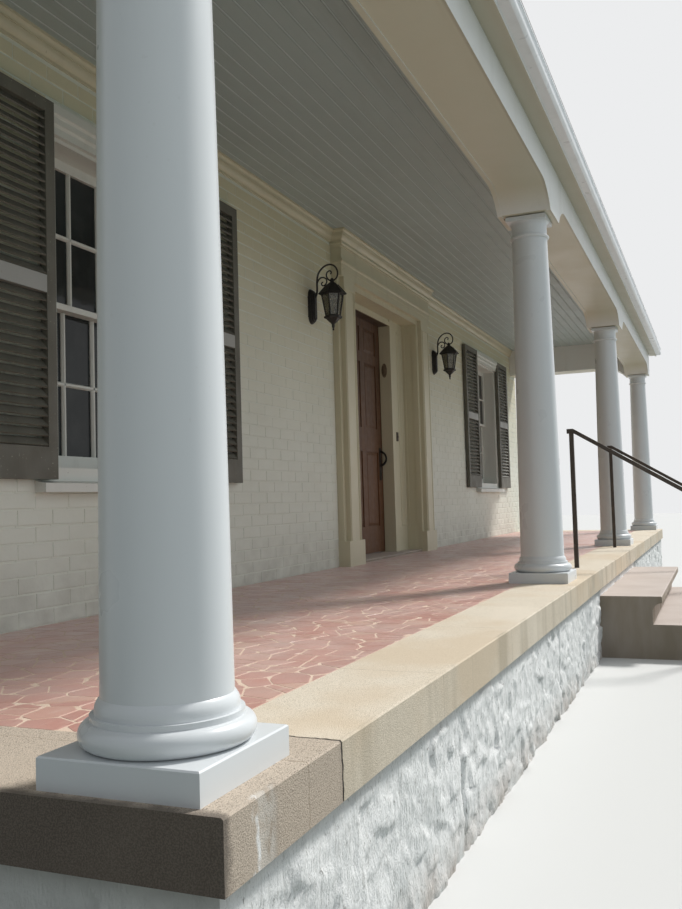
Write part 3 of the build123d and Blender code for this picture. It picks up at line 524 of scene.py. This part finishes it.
class Shape:
    """Collects skins, each from rows of points, into one mesh; every face keeps a tone."""

    def __init__(self):
        self.points, self.faces, self.tones = [], [], []

    def add(self, rows, faces, tone):
        """Rows of points and the faces on them, numbered from the first new point."""
        start = len(self.points)
        for row in rows:
            self.points.extend(tuple(point) for point in row)
        self.faces.extend(tuple(start + i for i in face) for face in faces)
        self.tones.extend([tone] * len(faces))

    def rings(self, rings, tone=0.5, closed=False):
        """A skin over rings of equally many points, capped at both ends unless it closes on itself."""
        count, total = len(rings[0]), len(rings)
        faces = []
        for row in range(total if closed else total - 1):
            low, high = row * count, (row + 1) % total * count
            for i in range(count):
                j = (i + 1) % count
                faces.append((low + i, low + j, high + j, high + i))
        if not closed:
            faces.append(range(count - 1, -1, -1))
            faces.append(range((total - 1) * count, total * count))
        self.add(rings, faces, tone)

    def sheet(self, rows):
        """An open sheet over equal rows of points."""
        count = len(rows[0])
        corners = [r * count + i for r in range(len(rows) - 1) for i in range(count - 1)]
        self.add(rows, [(c, c + 1, c + count + 1, c + count) for c in corners], 0.5)

    def make(self, name, finish, smooth=False, outward=True):
        """The mesh as a piece; the faces of closed skins are turned outward."""
        mesh = bpy.data.meshes.new(name)
        mesh.from_pydata(self.points, [], self.faces)
        if outward:
            skin = bmesh.new()
            skin.from_mesh(mesh)
            bmesh.ops.recalc_face_normals(skin, faces=skin.faces)
            skin.to_mesh(mesh)
            skin.free()
        mesh.attributes.new("tone", "FLOAT", "FACE").data.foreach_set("value", self.tones)
        for face in mesh.polygons:
            face.use_smooth = smooth
        return stand(name, mesh, finish)


def about(middle, half):
    """The limits of a stretch, from its middle and half its length."""
    return middle - half, middle + half


def rectangle(x, y):
    """The corners of a rectangle between two limits along each side."""
    return [(x[0], y[0]), (x[1], y[0]), (x[1], y[1]), (x[0], y[1])]


def spokes(count):
    """Unit steps round a circle, as (x, y)."""
    turns = [2 * math.pi * i / count for i in range(count)]
    return [(math.cos(turn), math.sin(turn)) for turn in turns]


def oval(x, y, half_x, half_y):
    return [(x + half_x * c, y + half_y * s) for c, s in spokes(28)]


def edges(outline):
    """Each corner with the next one."""
    return list(zip(outline, outline[1:] + outline[:1]))


def clip(outline, point, normal, depth=0.0):
    """A convex outline cut along a line, so far inside a point; the normal points at what goes."""
    point = [p - n * depth for p, n in zip(point, normal)]
    kept = []
    for here, after in edges(outline):
        past = [(p[0] - point[0]) * normal[0] + (p[1] - point[1]) * normal[1] for p in (here, after)]
        if past[0] <= 0:
            kept.append(here)
        if (past[0] < 0 < past[1]) or (past[1] < 0 < past[0]):
            share = past[0] / (past[0] - past[1])
            kept.append((here[0] + (after[0] - here[0]) * share, here[1] + (after[1] - here[1]) * share))
    return kept


def area(outline):
    return 0.5 * sum(a[0] * b[1] - b[0] * a[1] for a, b in edges(outline))


def centre_of(outline):
    return [sum(p[k] for p in outline) / len(outline) for k in (0, 1)]


def edge_normals(outline):
    """The outward normal of each edge of an anticlockwise outline."""
    normals = []
    for a, b in edges(outline):
        length = math.hypot(b[0] - a[0], b[1] - a[1]) or 1.0
        normals.append(((b[1] - a[1]) / length, (a[0] - b[0]) / length))
    return normals


def inset(outline, distance):
    """An anticlockwise convex outline with every edge moved inward; it keeps its number of points."""
    normals = edge_normals(outline)
    made = []
    for i, (x, y) in enumerate(outline):
        (ax, ay), (bx, by) = normals[i - 1], normals[i]
        scale = distance / max(1 + ax * bx + ay * by, 0.35)
        made.append((x - (ax + bx) * scale, y - (ay + by) * scale))
    return made


def on_front(y):
    """Turns (u, v, out) into a point on an upright face that looks to the front."""
    return lambda u, v, out: (u, y - out, v)


def raised(shape, outline, at, height, bevel, base, tone=0.5):
    """A block on a surface with its outer edges bevelled; at turns (u, v, out) into a point."""
    rings = [(outline, base), (outline, height - bevel), (inset(outline, bevel), height)]
    shape.rings([[at(u, v, out) for u, v in points] for points, out in rings], tone)


def wedge(shape, outline, at, foot, head, tone=0.5):
    """A lapping tab or board on a surface, thick along its foot and thin along its head."""
    shape.rings([[at(u, v, 0.0) for u, v in outline],
                 [at(u, v, out) for (u, v), out in zip(outline, (foot, foot, head, head))]], tone)


def lathe(shape, centre, profile):
    """A turned form round an upright line through the centre; the profile is (radius, height)."""
    shape.rings([[(centre[0] + r * c, centre[1] + r * s, centre[2] + z) for c, s in spokes(16)]
                 for r, z in profile])


def rod(name, points, radius, taper, finish):
    """A smooth bar through a few points, thinner toward its far end."""
    curve = bpy.data.curves.new(name, "CURVE")
    curve.dimensions = "3D"
    curve.bevel_depth = radius
    curve.bevel_resolution = 4
    curve.use_fill_caps = True
    spline = curve.splines.new("NURBS")
    spline.points.add(len(points) - 1)
    for i, (point, spot) in enumerate(zip(points, spline.points)):
        spot.co = (*point, 1)
        spot.radius = 1 + (taper - 1) * i / (len(points) - 1)
    spline.order_u = 4
    spline.use_endpoint_u = True
    curve.resolution_u = 8
    return stand(name, curve, finish)


def laid(start, stop, left, pitch, gap_before, gap_after):
    """The stretches from start to stop that units cover, laid at a pitch with gaps at their ends."""
    while left < stop:
        ends = (max(left + gap_before, start), min(left + pitch - gap_after, stop))
        if ends[1] - ends[0] > 0.02:
            yield ends
        left += pitch


# Brick courses on the house wall, cut round the windows, the door surround and the beams
course = 0.06985
brick_joint = 0.0075
head_joint = 0.0048
brick_proud = 0.0025
bricks_top = 3.55
shortest_run = 0.03
crown_foot = ceiling_z - 0.093
beam_foot = 2.205
beam_ends = (5.608, 5.912)


def free_runs(start, stop, taken):
    """The stretches between start and stop that no taken stretch covers."""
    runs, place = [], start
    for low, high in sorted(taken):
        if low > place:
            runs.append((place, min(low, stop)))
        place = max(place, high)
    if place < stop:
        runs.append((place, stop))
    return [run for run in runs if run[1] - run[0] > shortest_run]


def wall_obstacles(low, high):
    """What stands against the wall between two heights, as stretches along X."""
    taken = [about(facade_x, surround_half + 0.008)]
    for x in window_x.values():
        if high > level(sill_low) and low < level(sill_top):
            taken.append(about(x, window_half + sill_ear))
        if high > level(sill_top) and low < level(window_top):
            taken.append(about(x, window_half))
    if high > level(beam_foot):
        taken.extend([(-beam_ends[1], -beam_ends[0]), beam_ends])
    return taken


bricks = Shape()
for row in range(math.ceil((bricks_top - floor_z) / course)):
    low = floor_z + row * course + brick_joint / 2
    high = low + course - brick_joint
    stagger = 0.5 * (row % 2)
    spans = [(-wall_end, wall_end)]
    if high > crown_foot:
        spans = [(-wall_end, -outer_wall), (outer_wall, wall_end)]
    for span in spans:
        for start, stop in free_runs(*span, wall_obstacles(low, high)):
            first = math.floor((start + wall_end) / brick_pitch - stagger)
            left = -wall_end + (first + stagger) * brick_pitch
            for ends in laid(start, stop, left, brick_pitch, 0.0, head_joint):
                proud = brick_proud + chance.uniform(-0.0008, 0.0008)
                sag = chance.uniform(-0.0012, 0.0012)
                outline = rectangle(ends, (low + sag, high + sag))
                raised(bricks, outline, on_front(wall_y), proud, 0.0018, -0.004)
bricks.make("wall_bricks", "brick")

# Crazy paving: broken terracotta on a cream bed, over the whole tiled field
tile_lo, tile_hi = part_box("tile_floor")
field_edge = 0.002
field_x = (tile_lo.x + field_edge, tile_hi.x - field_edge)
field_y = (tile_lo.y + field_edge, tile_hi.y)
spread = 0.104
drift = 0.46
bed_drop = 0.0004
bed_bevel = 0.001
smallest_tile = 0.0003
shortest_edge = 0.003
border_gap = 0.0006


def paving_seeds():
    """A loose grid of points over the field and a little beyond, by row and column."""
    columns = math.ceil((field_x[1] - field_x[0]) / spread) + 4
    rows = math.ceil((field_y[1] - field_y[0]) / spread) + 4
    return {(row, column): (field_x[0] + (column - 1.5 + chance.uniform(-drift, drift)) * spread,
                            field_y[0] + (row - 1.5 + chance.uniform(-drift, drift)) * spread)
            for row in range(rows) for column in range(columns)}


def nearest_ground(seeds, row, column):
    """The part of the field that lies nearer to one seed than to its neighbours."""
    x, y = seeds[row, column]
    limits = [(max(place - 2 * spread, ends[0]), min(place + 2 * spread, ends[1]))
              for place, ends in ((x, field_x), (y, field_y))]
    if any(low >= high for low, high in limits):
        return []
    outline = rectangle(*limits)
    for down in range(-2, 3):
        for along in range(-2, 3):
            other = seeds.get((row + down, column + along))
            if other and (down or along) and len(outline) > 2:
                middle = ((x + other[0]) / 2, (y + other[1]) / 2)
                outline = clip(outline, middle, (other[0] - x, other[1] - y))
    return outline


def split_now_and_then(outline):
    """The outline whole or, about one time in four, in two pieces."""
    if chance.random() > 0.26 or len(outline) < 4:
        return [outline]
    centre = centre_of(outline)
    angle = chance.uniform(0, math.pi)
    normal = (math.cos(angle), math.sin(angle))
    return [clip(outline, centre, normal), clip(outline, centre, (-normal[0], -normal[1]))]


def joint_cut(outline):
    """A broken piece, less its share of the joints and some of its corners."""
    made = outline
    for (a, b), normal in zip(edges(outline), edge_normals(outline)):
        at_border = any(a[k] == b[k] == limit for k, ends in enumerate((field_x, field_y)) for limit in ends)
        gap = border_gap if at_border else chance.uniform(0.0019, 0.0037)
        made = clip(made, a, normal, gap)
        if len(made) < 3:
            return []
    centre = centre_of(made)
    for corner in list(made):
        if chance.random() < 0.3:
            reach = math.hypot(corner[0] - centre[0], corner[1] - centre[1])
            normal = ((corner[0] - centre[0]) / reach, (corner[1] - centre[1]) / reach)
            made = clip(made, corner, normal, chance.uniform(0.003, 0.011))
    return [p for p, q in edges(made) if math.hypot(p[0] - q[0], p[1] - q[1]) > shortest_edge]


bed = Shape()
outline = rectangle((tile_lo.x, tile_hi.x), (tile_lo.y, tile_hi.y))
eased = inset(outline, bed_bevel)
bed_top = tile_hi.z - bed_drop
bed.rings([[(x, y, z) for x, y in points] for points, z in (
    (eased, tile_lo.z), (outline, tile_lo.z + bed_bevel), (outline, bed_top - bed_bevel), (eased, bed_top))])
bed = bed.make("tile_bed", "joint")
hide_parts("tile_floor")
paving = Shape()
seeds = paving_seeds()
for row, column in seeds:
    ground_piece = nearest_ground(seeds, row, column)
    if len(ground_piece) > 2:
        for piece in split_now_and_then(ground_piece):
            cut = joint_cut(piece) if len(piece) > 2 else []
            if len(cut) > 2 and area(cut) > smallest_tile:
                raised(paving, cut, lambda u, v, out: (u, v, tile_hi.z + out), chance.uniform(0.0, 0.0004),
                       0.0004, -0.004, chance.random())
paving.make("crazy_paving", "tile")

# Rough split stone on the foundation's faces, in long blocks with ragged upright joints
stone_step = 0.0108
stone_mean = 0.0125
stone_waves = [(0.005, 3.1, 2.6, 1.7), (0.0012, 44, 30, 9.1), (0.0016, 60, 12, 3.1)]  # size, scales, seed
corner_relief = 0.012
corner_ease = 0.05
block_joints = [-4.49, -2.66, -1.1, 0.62, 2.3, 3.95]
end_joint = -1.1
joint_depth, joint_reach = 0.014, 0.02


def broken_flat(u, z, size, jump, slope):
    """The relief of a face broken into tilted flats about that wide."""
    warp = 0.3 * noise.noise(Vector((u * 1.3 / size, z * 1.3 / size, 2.0)))
    place = Vector((u / size + warp, 1.3 * z / size - warp, 11 * size))
    near = noise.voronoi(place)[1][0]
    lean = noise.noise_vector(near * 5.31)
    return jump * lean.z + slope * size * (lean.x * (place.x - near.x) + lean.y * (place.y - near.y))


def stone_relief(u, z, joints):
    """How far the stone stands out: tilted flats, chips and hollows, dropping back at each joint."""
    out = stone_mean
    for size, along, up, seed in stone_waves:
        out += size * noise.noise(Vector((u * along, z * up, seed)))
    out += broken_flat(u, z, 0.13, 0.005, 0.17) + broken_flat(u, z, 0.05, 0.002, 0.2)
    for joint in joints:
        ragged = joint + 0.02 * noise.noise(Vector((z * 9, joint, 0.0)))
        out -= joint_depth * max(0.0, 1 - abs(u - ragged) / joint_reach)
    if z > stone_top - 0.02:
        out = min(out, 0.016)
    return min(max(out, 0.001), 0.031)


def rough_face(shape, along, at, joints):
    """A split-stone face whose relief evens out toward its ends, so that faces meet at corners."""
    columns = max(2, round((along[1] - along[0]) / stone_step))
    rows = round(stone_top / stone_step)
    grid = []
    for r in range(rows + 1):
        z = stone_top * r / rows
        line = []
        for c in range(columns + 1):
            u = along[0] + (along[1] - along[0]) * c / columns
            blend = min(1.0, (u - along[0]) / corner_ease, (along[1] - u) / corner_ease)
            line.append(at(u, z, corner_relief + (stone_relief(u, z, joints) - corner_relief) * blend))
        grid.append(line)
    shape.sheet(grid)


stone_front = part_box("front_foundation")[0].y
stone_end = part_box("front_foundation")[1].x
house_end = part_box("house_foundation")[1].x
back_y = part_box("house_foundation")[1].y
house_front = -0.21
stones = Shape()
rough_face(stones, about(0, stone_end + corner_relief), lambda u, z, out: (u, stone_front - out, z),
           block_joints)
stones.make("split_stone_front", "stone", smooth=True, outward=False)
for side, sign in (("near", -1), ("far", 1)):
    stones = Shape()
    rough_face(stones, (stone_front - corner_relief, house_front),
               lambda u, z, out: (sign * (stone_end + out), u, z), [end_joint])
    rough_face(stones, (house_front, back_y), lambda u, z, out: (sign * (house_end + out), u, z), [])
    stones.make(f"split_stone_{side}", "stone", smooth=True, outward=False)

# Ceiling: narrow beaded boards along the porch
bead_profile = [(0.0, 0.0045), (0.0018, 0.0), (board - 0.0105, 0.0), (board - 0.0088, 0.004),
                (board - 0.0072, 0.0008), (board - 0.0042, -0.0008), (board - 0.0012, 0.0008)]
section = [(ceiling_lo.y + n * board + across, ceiling_lo.z + up)
           for n in range(board_count) for across, up in bead_profile]
section = section[1:] + [(ceiling_hi.y, ceiling_lo.z), (ceiling_hi.y, ceiling_hi.z),
                         (ceiling_lo.y, ceiling_hi.z), (ceiling_lo.y, ceiling_lo.z)]
boards = Shape()
boards.rings([[(x, y, z) for y, z in section] for x in (ceiling_lo.x, ceiling_hi.x)])
boards = boards.make("ceiling_boards", "ceiling")
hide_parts("ceiling")

# Roof shingles in overlapping courses of tabs
roof_lo, roof_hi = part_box("roof")
pitch = math.radians(18.4)
roof_thick = 0.095
slope_length = (roof_hi.y - roof_lo.y) / math.cos(pitch)
exposure = 0.143
overlap = 0.012
tab = 0.305
slit = 0.003


def on_roof(u, v, out):
    """A point on the roof's upper face, v up the slope from the eave and out above it."""
    return (u, roof_lo.y + v * math.cos(pitch) - out * math.sin(pitch),
            roof_lo.z + roof_thick + v * math.sin(pitch) + out * math.cos(pitch))


shingles = Shape()
for n in range(math.ceil(slope_length / exposure)):
    start, stop = n * exposure, min((n + 1) * exposure + overlap, slope_length)
    gap = slit if n else 0.0
    for ends in laid(roof_lo.x, roof_hi.x, roof_lo.x - (n % 2) * tab / 2, tab, gap, gap):
        droop = chance.uniform(-0.002, 0.002)
        outline = rectangle(ends, (start + droop if n else start, stop))
        wedge(shingles, outline, on_roof, 0.0075, 0.003, chance.random())
shingles.make("roof_shingles", "shingle")

# Lapped boards on the gables
gable_lo, gable_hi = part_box("near_gable")
lap = 0.115


def roof_line(z):
    """Where the roof's underside reaches a height, across the porch."""
    return gable_lo.y + (z - (gable_hi.z - (gable_hi.y - gable_lo.y) * math.tan(pitch))) / math.tan(pitch)


for side, sign in (("near", -1), ("far", 1)):
    siding = Shape()
    low = gable_lo.z
    while low < gable_hi.z - 0.02:
        high = min(low + lap, gable_hi.z - 0.004)
        y_low, y_high = (max(gable_lo.y, roof_line(z)) for z in (low, high))
        back = gable_hi.y - 0.002
        if back - y_low > 0.05:
            outline = [(y_low, low), (back, low), (back, high), (y_high, high)]
            wedge(siding, outline, lambda y, z, out: (sign * (outer_wall + out), y, z), 0.013, 0.004)
        low += lap
    siding.make(f"gable_boards_{side}", "trim")

# Mouldings under the crown and on the lintel of the door surround: height and profile as (out, up)
surround_mouldings = [
    (ceiling_z - 0.092, [(-0.002, 0.002), (0.009, 0.002), (0.015, -0.004), (0.017, -0.011), (0.013, -0.018),
                         (0.007, -0.021), (0.007, -0.034), (-0.002, -0.034)]),
    (level(2.312), [(-0.002, 0.001), (0.009, 0.001), (0.011, -0.005), (0.006, -0.012), (-0.002, -0.014)]),
    (level(2.262), [(-0.002, 0.0), (0.004, 0.0), (0.004, 0.046), (-0.002, 0.046)]),
]
left, right = about(facade_x, surround_half)
corners = [(left, wall_y, -1, 0), (left, surround_y, -1, -1), (right, surround_y, 1, -1),
           (right, wall_y, 1, 0)]
mouldings = Shape()
for height, profile in surround_mouldings:
    mouldings.rings([[(x + out * along, y + out * forward, height + up) for out, up in profile]
                     for x, y, along, forward in corners])
mouldings.make("surround_mouldings", "cream")

# Beads down the pilasters and a panel moulding on each side of the casing behind them
bead_centres = (0.878, 0.902, 1.073)
bead_half = 0.004
panel_profile = [(0.0, -0.001), (0.0, 0.003), (0.003, 0.0065), (0.006, 0.0065), (0.010, 0.003), (0.014, 0.002),
                 (0.014, -0.001)]
pilaster_beads = Shape()
casing_panels = Shape()
for side in (-1, 1):
    for centre in bead_centres:
        ends = sorted(facade_x + side * edge for edge in about(centre, bead_half))
        bead = rectangle(ends, (level(0.191), level(2.107)))
        raised(pilaster_beads, bead, on_front(surround_y), 0.005, 0.002, -0.001)
    left, right = sorted((facade_x + side * 0.656, facade_x + side * 0.792))
    low, high = level(0.25), level(2.075)
    corners = [(left, low, 1, 1), (right, low, -1, 1), (right, high, -1, -1), (left, high, 1, -1)]
    casing_panels.rings([[(x + along * inner, casing_y - out, z + up * inner) for inner, out in panel_profile]
                         for x, z, along, up in corners], closed=True)
pilaster_beads.make("pilaster_beads", "cream")
casing_panels.make("casing_panels", "cream")

# Window heads: two mouldings, each with its height and how far it stands out at its foot and top
for side, x in window_x.items():
    mouldings = Shape()
    for height, inner, outer in ((2.183, 0.024, 0.034), (2.222, 0.034, 0.046)):
        profile = [(inner - 0.002, 0.001), (outer - 0.001, 0.001), (inner + 0.004, -0.004),
                   (inner + 0.0012, -0.011), (inner - 0.002, -0.012)]
        mouldings.rings([[(end, wall_y - out, level(height) + up) for out, up in profile]
                         for end in about(x, window_half - 0.001)])
    mouldings.make(f"window_head_{side}", "sash")

# Window bars: three upright and one level in each sash, with a thin nose outside and a flat back
sash_half = 0.436
sash_panes = [(-0.001, level(1.442), level(2.075)), (0.041, level(0.736), level(1.414))]  # Y and heights
bar_end = 0.004
bar_profile = [(-0.011, 0.019), (-0.011, -0.006), (-0.0045, -0.017), (0.0045, -0.017), (0.011, -0.006),
               (0.011, 0.019)]
for side, x in window_x.items():
    bars = Shape()
    for pane_y, low, high in sash_panes:
        for n in (-1, 0, 1):
            bars.rings([[(x + n * sash_half / 2 + across, pane_y + depth, z) for across, depth in bar_profile]
                        for z in (low - bar_end, high + bar_end)])
        bars.rings([[(end, pane_y + depth, (low + high) / 2 + across) for across, depth in bar_profile]
                    for end in about(x, sash_half + bar_end)])
    bars.make(f"window_bars_{side}", "sash")

# Lanterns: plate, scrolled arm, ribbed six-sided cap, glazed cage, tray and finial
lantern_x = {"near": facade_x - 1.528, "far": facade_x + 1.528}
lantern_y = wall_y - 0.173
plate_half, plate_width, plate_middle = 0.1275, 0.05, 1.893
plate_steps = [(1.0, 0.010, 0.0), (0.88, 0.020, 0.006), (0.7, 0.032, 0.016), (0.44, 0.042, 0.028)]
cap_rings = [(0.09, 1.962), (0.1, 1.965), (0.098, 1.971), (0.086, 1.982), (0.077, 1.994), (0.066, 2.008),
             (0.053, 2.022), (0.039, 2.036), (0.026, 2.047), (0.016, 2.055), (0.012, 2.063), (0.016, 2.07),
             (0.011, 2.078), (0.004, 2.084)]
tray_rings = [(0.053, 1.808), (0.064, 1.807), (0.067, 1.801), (0.064, 1.793), (0.05, 1.788), (0.037, 1.774),
              (0.021, 1.76), (0.012, 1.752), (0.01, 1.744), (0.012, 1.737), (0.009, 1.729), (0.006, 1.717),
              (0.008, 1.711), (0.004, 1.705)]
rib_rings = [(0.101, 1.967), (0.077, 1.995), (0.04, 2.036)]
glass_rings = [(0.0745, 1.962), (0.049, 1.812), (0.046, 1.812), (0.0715, 1.962)]
candle_profile = [(0.011, 0.0), (0.0115, 0.002), (0.0115, 0.05), (0.008, 0.056), (0.014, 0.068),
                  (0.015, 0.078), (0.009, 0.098), (0.003, 0.11)]
arm = [(0.03, 1.945), (0.044, 1.962), (0.055, 1.985), (0.055, 2.03), (0.055, 2.08), (0.064, 2.128),
       (0.092, 2.16), (0.124, 2.181), (0.168, 2.186), (0.205, 2.163), (0.222, 2.118), (0.21, 2.075),
       (0.174, 2.06), (0.144, 2.072), (0.126, 2.103), (0.136, 2.134), (0.16, 2.142), (0.174, 2.126),
       (0.162, 2.112)]
curl = [(0.053, 2.04), (0.058, 2.07), (0.078, 2.096), (0.108, 2.098), (0.134, 2.08), (0.132, 2.05),
        (0.108, 2.03), (0.088, 2.042), (0.09, 2.06), (0.104, 2.062)]


def hexagon(centre_x, radius, height):
    return [(centre_x + radius * c, lantern_y + radius * s, level(height)) for c, s in spokes(6)]


def strut(shape, start, stop, half):
    """A square bar between two points."""
    line = (Vector(stop) - Vector(start)).normalized()
    side = line.cross(Vector((0, 0, 1)) if abs(line.z) < 0.9 else Vector((0, 1, 0))).normalized() * half
    up = line.cross(side).normalized() * half
    shape.rings([[tuple(Vector(end) + side * a + up * b) for a, b in ((-1, -1), (1, -1), (1, 1), (-1, 1))]
                 for end in (start, stop)])


def round_ended(x, z, half_x, half_z):
    """An upright oblong with half-round ends."""
    ring, straight = spokes(16), half_z - half_x
    ends = [(c, s, straight) for c, s in ring[:9]] + [(c, s, -straight) for c, s in ring[8:] + ring[:1]]
    return [(x + half_x * c, z + rise + half_x * s) for c, s, rise in ends]


for side, x in lantern_x.items():
    iron = Shape()
    for size, depth, base in plate_steps:
        outline = round_ended(x, level(plate_middle), plate_width * size, plate_half - 0.05 * (1 - size))
        raised(iron, outline, on_front(wall_y), depth, 0.002, base)
    for rings in (cap_rings, tray_rings):
        iron.rings([hexagon(x, radius, height) for radius, height in rings])
    tops, feet = hexagon(x, 0.077, 1.965), hexagon(x, 0.050, 1.809)
    ribs = [hexagon(x, radius, height) for radius, height in rib_rings]
    for i in range(6):
        j = (i + 1) % 6
        for start, stop, half in ((feet[i], tops[i], 0.0044), (feet[i], feet[j], 0.0046),
                                  (tops[i], tops[j], 0.0055), (ribs[0][i], ribs[1][i], 0.0034),
                                  (ribs[1][i], ribs[2][i], 0.0032)):
            strut(iron, start, stop, half)
    lathe(iron, (x, lantern_y, level(1.806)), [(0.02, 0.0), (0.022, 0.006), (0.012, 0.012), (0.012, 0.016)])
    iron = iron.make(f"lantern_iron_{side}", "iron")
    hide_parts(f"lantern_{side}")
    glass = Shape()
    glass.rings([hexagon(x, radius, height) for radius, height in glass_rings], closed=True)
    glass.make(f"lantern_glass_{side}", "seedy")
    candle = Shape()
    lathe(candle, (x, lantern_y, level(1.822)), candle_profile)
    candle.make(f"lantern_candle_{side}", "candle", smooth=True)
    for part, path, radius, taper in (("arm", arm, 0.0074, 0.66), ("curl", curl, 0.0058, 0.75)):
        points = [(x, wall_y - out, level(up)) for out, up in path]
        rod(f"lantern_{part}_{side}", points, radius, taper, "iron")

# An oval plate on the door lining and a bell push on the casing
lining_x = facade_x + 0.448
bell_x, bell_height = 0.5975, 1.08
fittings = Shape()
for size, depth, base in ((1.0, 0.005, -0.001), (0.86, 0.008, 0.003), (0.34, 0.012, 0.006)):
    raised(fittings, oval(0.002, level(1.689), 0.026 * size, 0.066 * size),
           lambda u, v, out: (lining_x - out, u, v), depth, 0.0014, base)
fittings.make("oval_plate", "bronze")
fittings = Shape()
plate = rectangle(about(facade_x + bell_x, 0.0205), about(level(bell_height), 0.042))
raised(fittings, plate, on_front(casing_y), 0.009, 0.002, -0.001)
push = oval(facade_x + bell_x, level(bell_height), 0.012, 0.012)
raised(fittings, push, on_front(casing_y), 0.014, 0.002, 0.008)
fittings.make("bell_plate", "rail")

# The stage: a pale floor, a soft sky that shows as a plain backdrop, one soft sun and the camera
stage_half = 45
floor = bpy.data.objects.new("stage_floor", bpy.data.meshes.new("stage_floor"))
corners = rectangle(about(0, stage_half), about(0, stage_half))
floor.data.from_pydata([(x, y, 0) for x, y in corners], [], [(0, 1, 2, 3)])
scene.collection.objects.link(floor)
ground = Finish("stage_floor", Roughness=0.9)
ground.colour((128, 136, 132), (ground.backdrop_ray(), 208, 208, 206))
floor.data.materials.append(ground.material)

scene.world = bpy.data.worlds.new("studio")
scene.world.use_nodes = True
studio = Nodes(scene.world.node_tree)
studio.tree.nodes.clear()
toward = {0: studio.node("TexCoord").outputs["Generated"], 1: (0.47, -0.83, 0.3)}
toward = studio.node("VectorMath", toward, operation="DOT_PRODUCT").outputs["Value"]
sky = studio.node("Background", {"Color": (0.88, 0.94, 1.0, 1),
                                 "Strength": studio.ramp(toward, -0.7, 0.8, 0.13, 0.74)})
backdrop = studio.node("Background", {"Color": srgb(236, 237, 238), "Strength": 1.0})
choice = studio.node("MixShader", {0: studio.backdrop_ray(), 1: sky.outputs[0], 2: backdrop.outputs[0]})
studio.node("OutputWorld", {0: choice.outputs[0]})

sun = bpy.data.objects.new("key_lamp", bpy.data.lights.new("key_lamp", "SUN"))
sun.data.energy = 3.5
sun.data.angle = math.radians(10)
sun.data.color = (1.0, 0.985, 0.96)
sun.rotation_mode = "QUATERNION"
sun.rotation_quaternion = Vector((0.60, -0.33, 0.73)).to_track_quat("Z", "Y")
scene.collection.objects.link(sun)

camera = bpy.data.objects.new("camera", bpy.data.cameras.new("camera"))
camera_place = (-7.1952, -2.8, 1.058)
yaw, tilt, roll = 0.3901, 0.053, -0.0294
focal_pixels, photo_height = 913.5, 909
ahead = Vector((math.cos(tilt) * math.cos(yaw), math.cos(tilt) * math.sin(yaw), math.sin(tilt)))
right = Vector((math.sin(yaw), -math.cos(yaw), 0))
up = right.cross(ahead)
right, up = (math.cos(roll) * right + math.sin(roll) * up, math.cos(roll) * up - math.sin(roll) * right)
camera.matrix_world = Matrix.Translation(camera_place) @ Matrix((right, up, -ahead)).transposed().to_4x4()
camera.data.sensor_width = 36
camera.data.lens = focal_pixels * camera.data.sensor_width / photo_height
camera.data.clip_start = 0.05
camera.data.clip_end = 200
scene.collection.objects.link(camera)
scene.camera = camera
scene.view_settings.view_transform = "Standard"
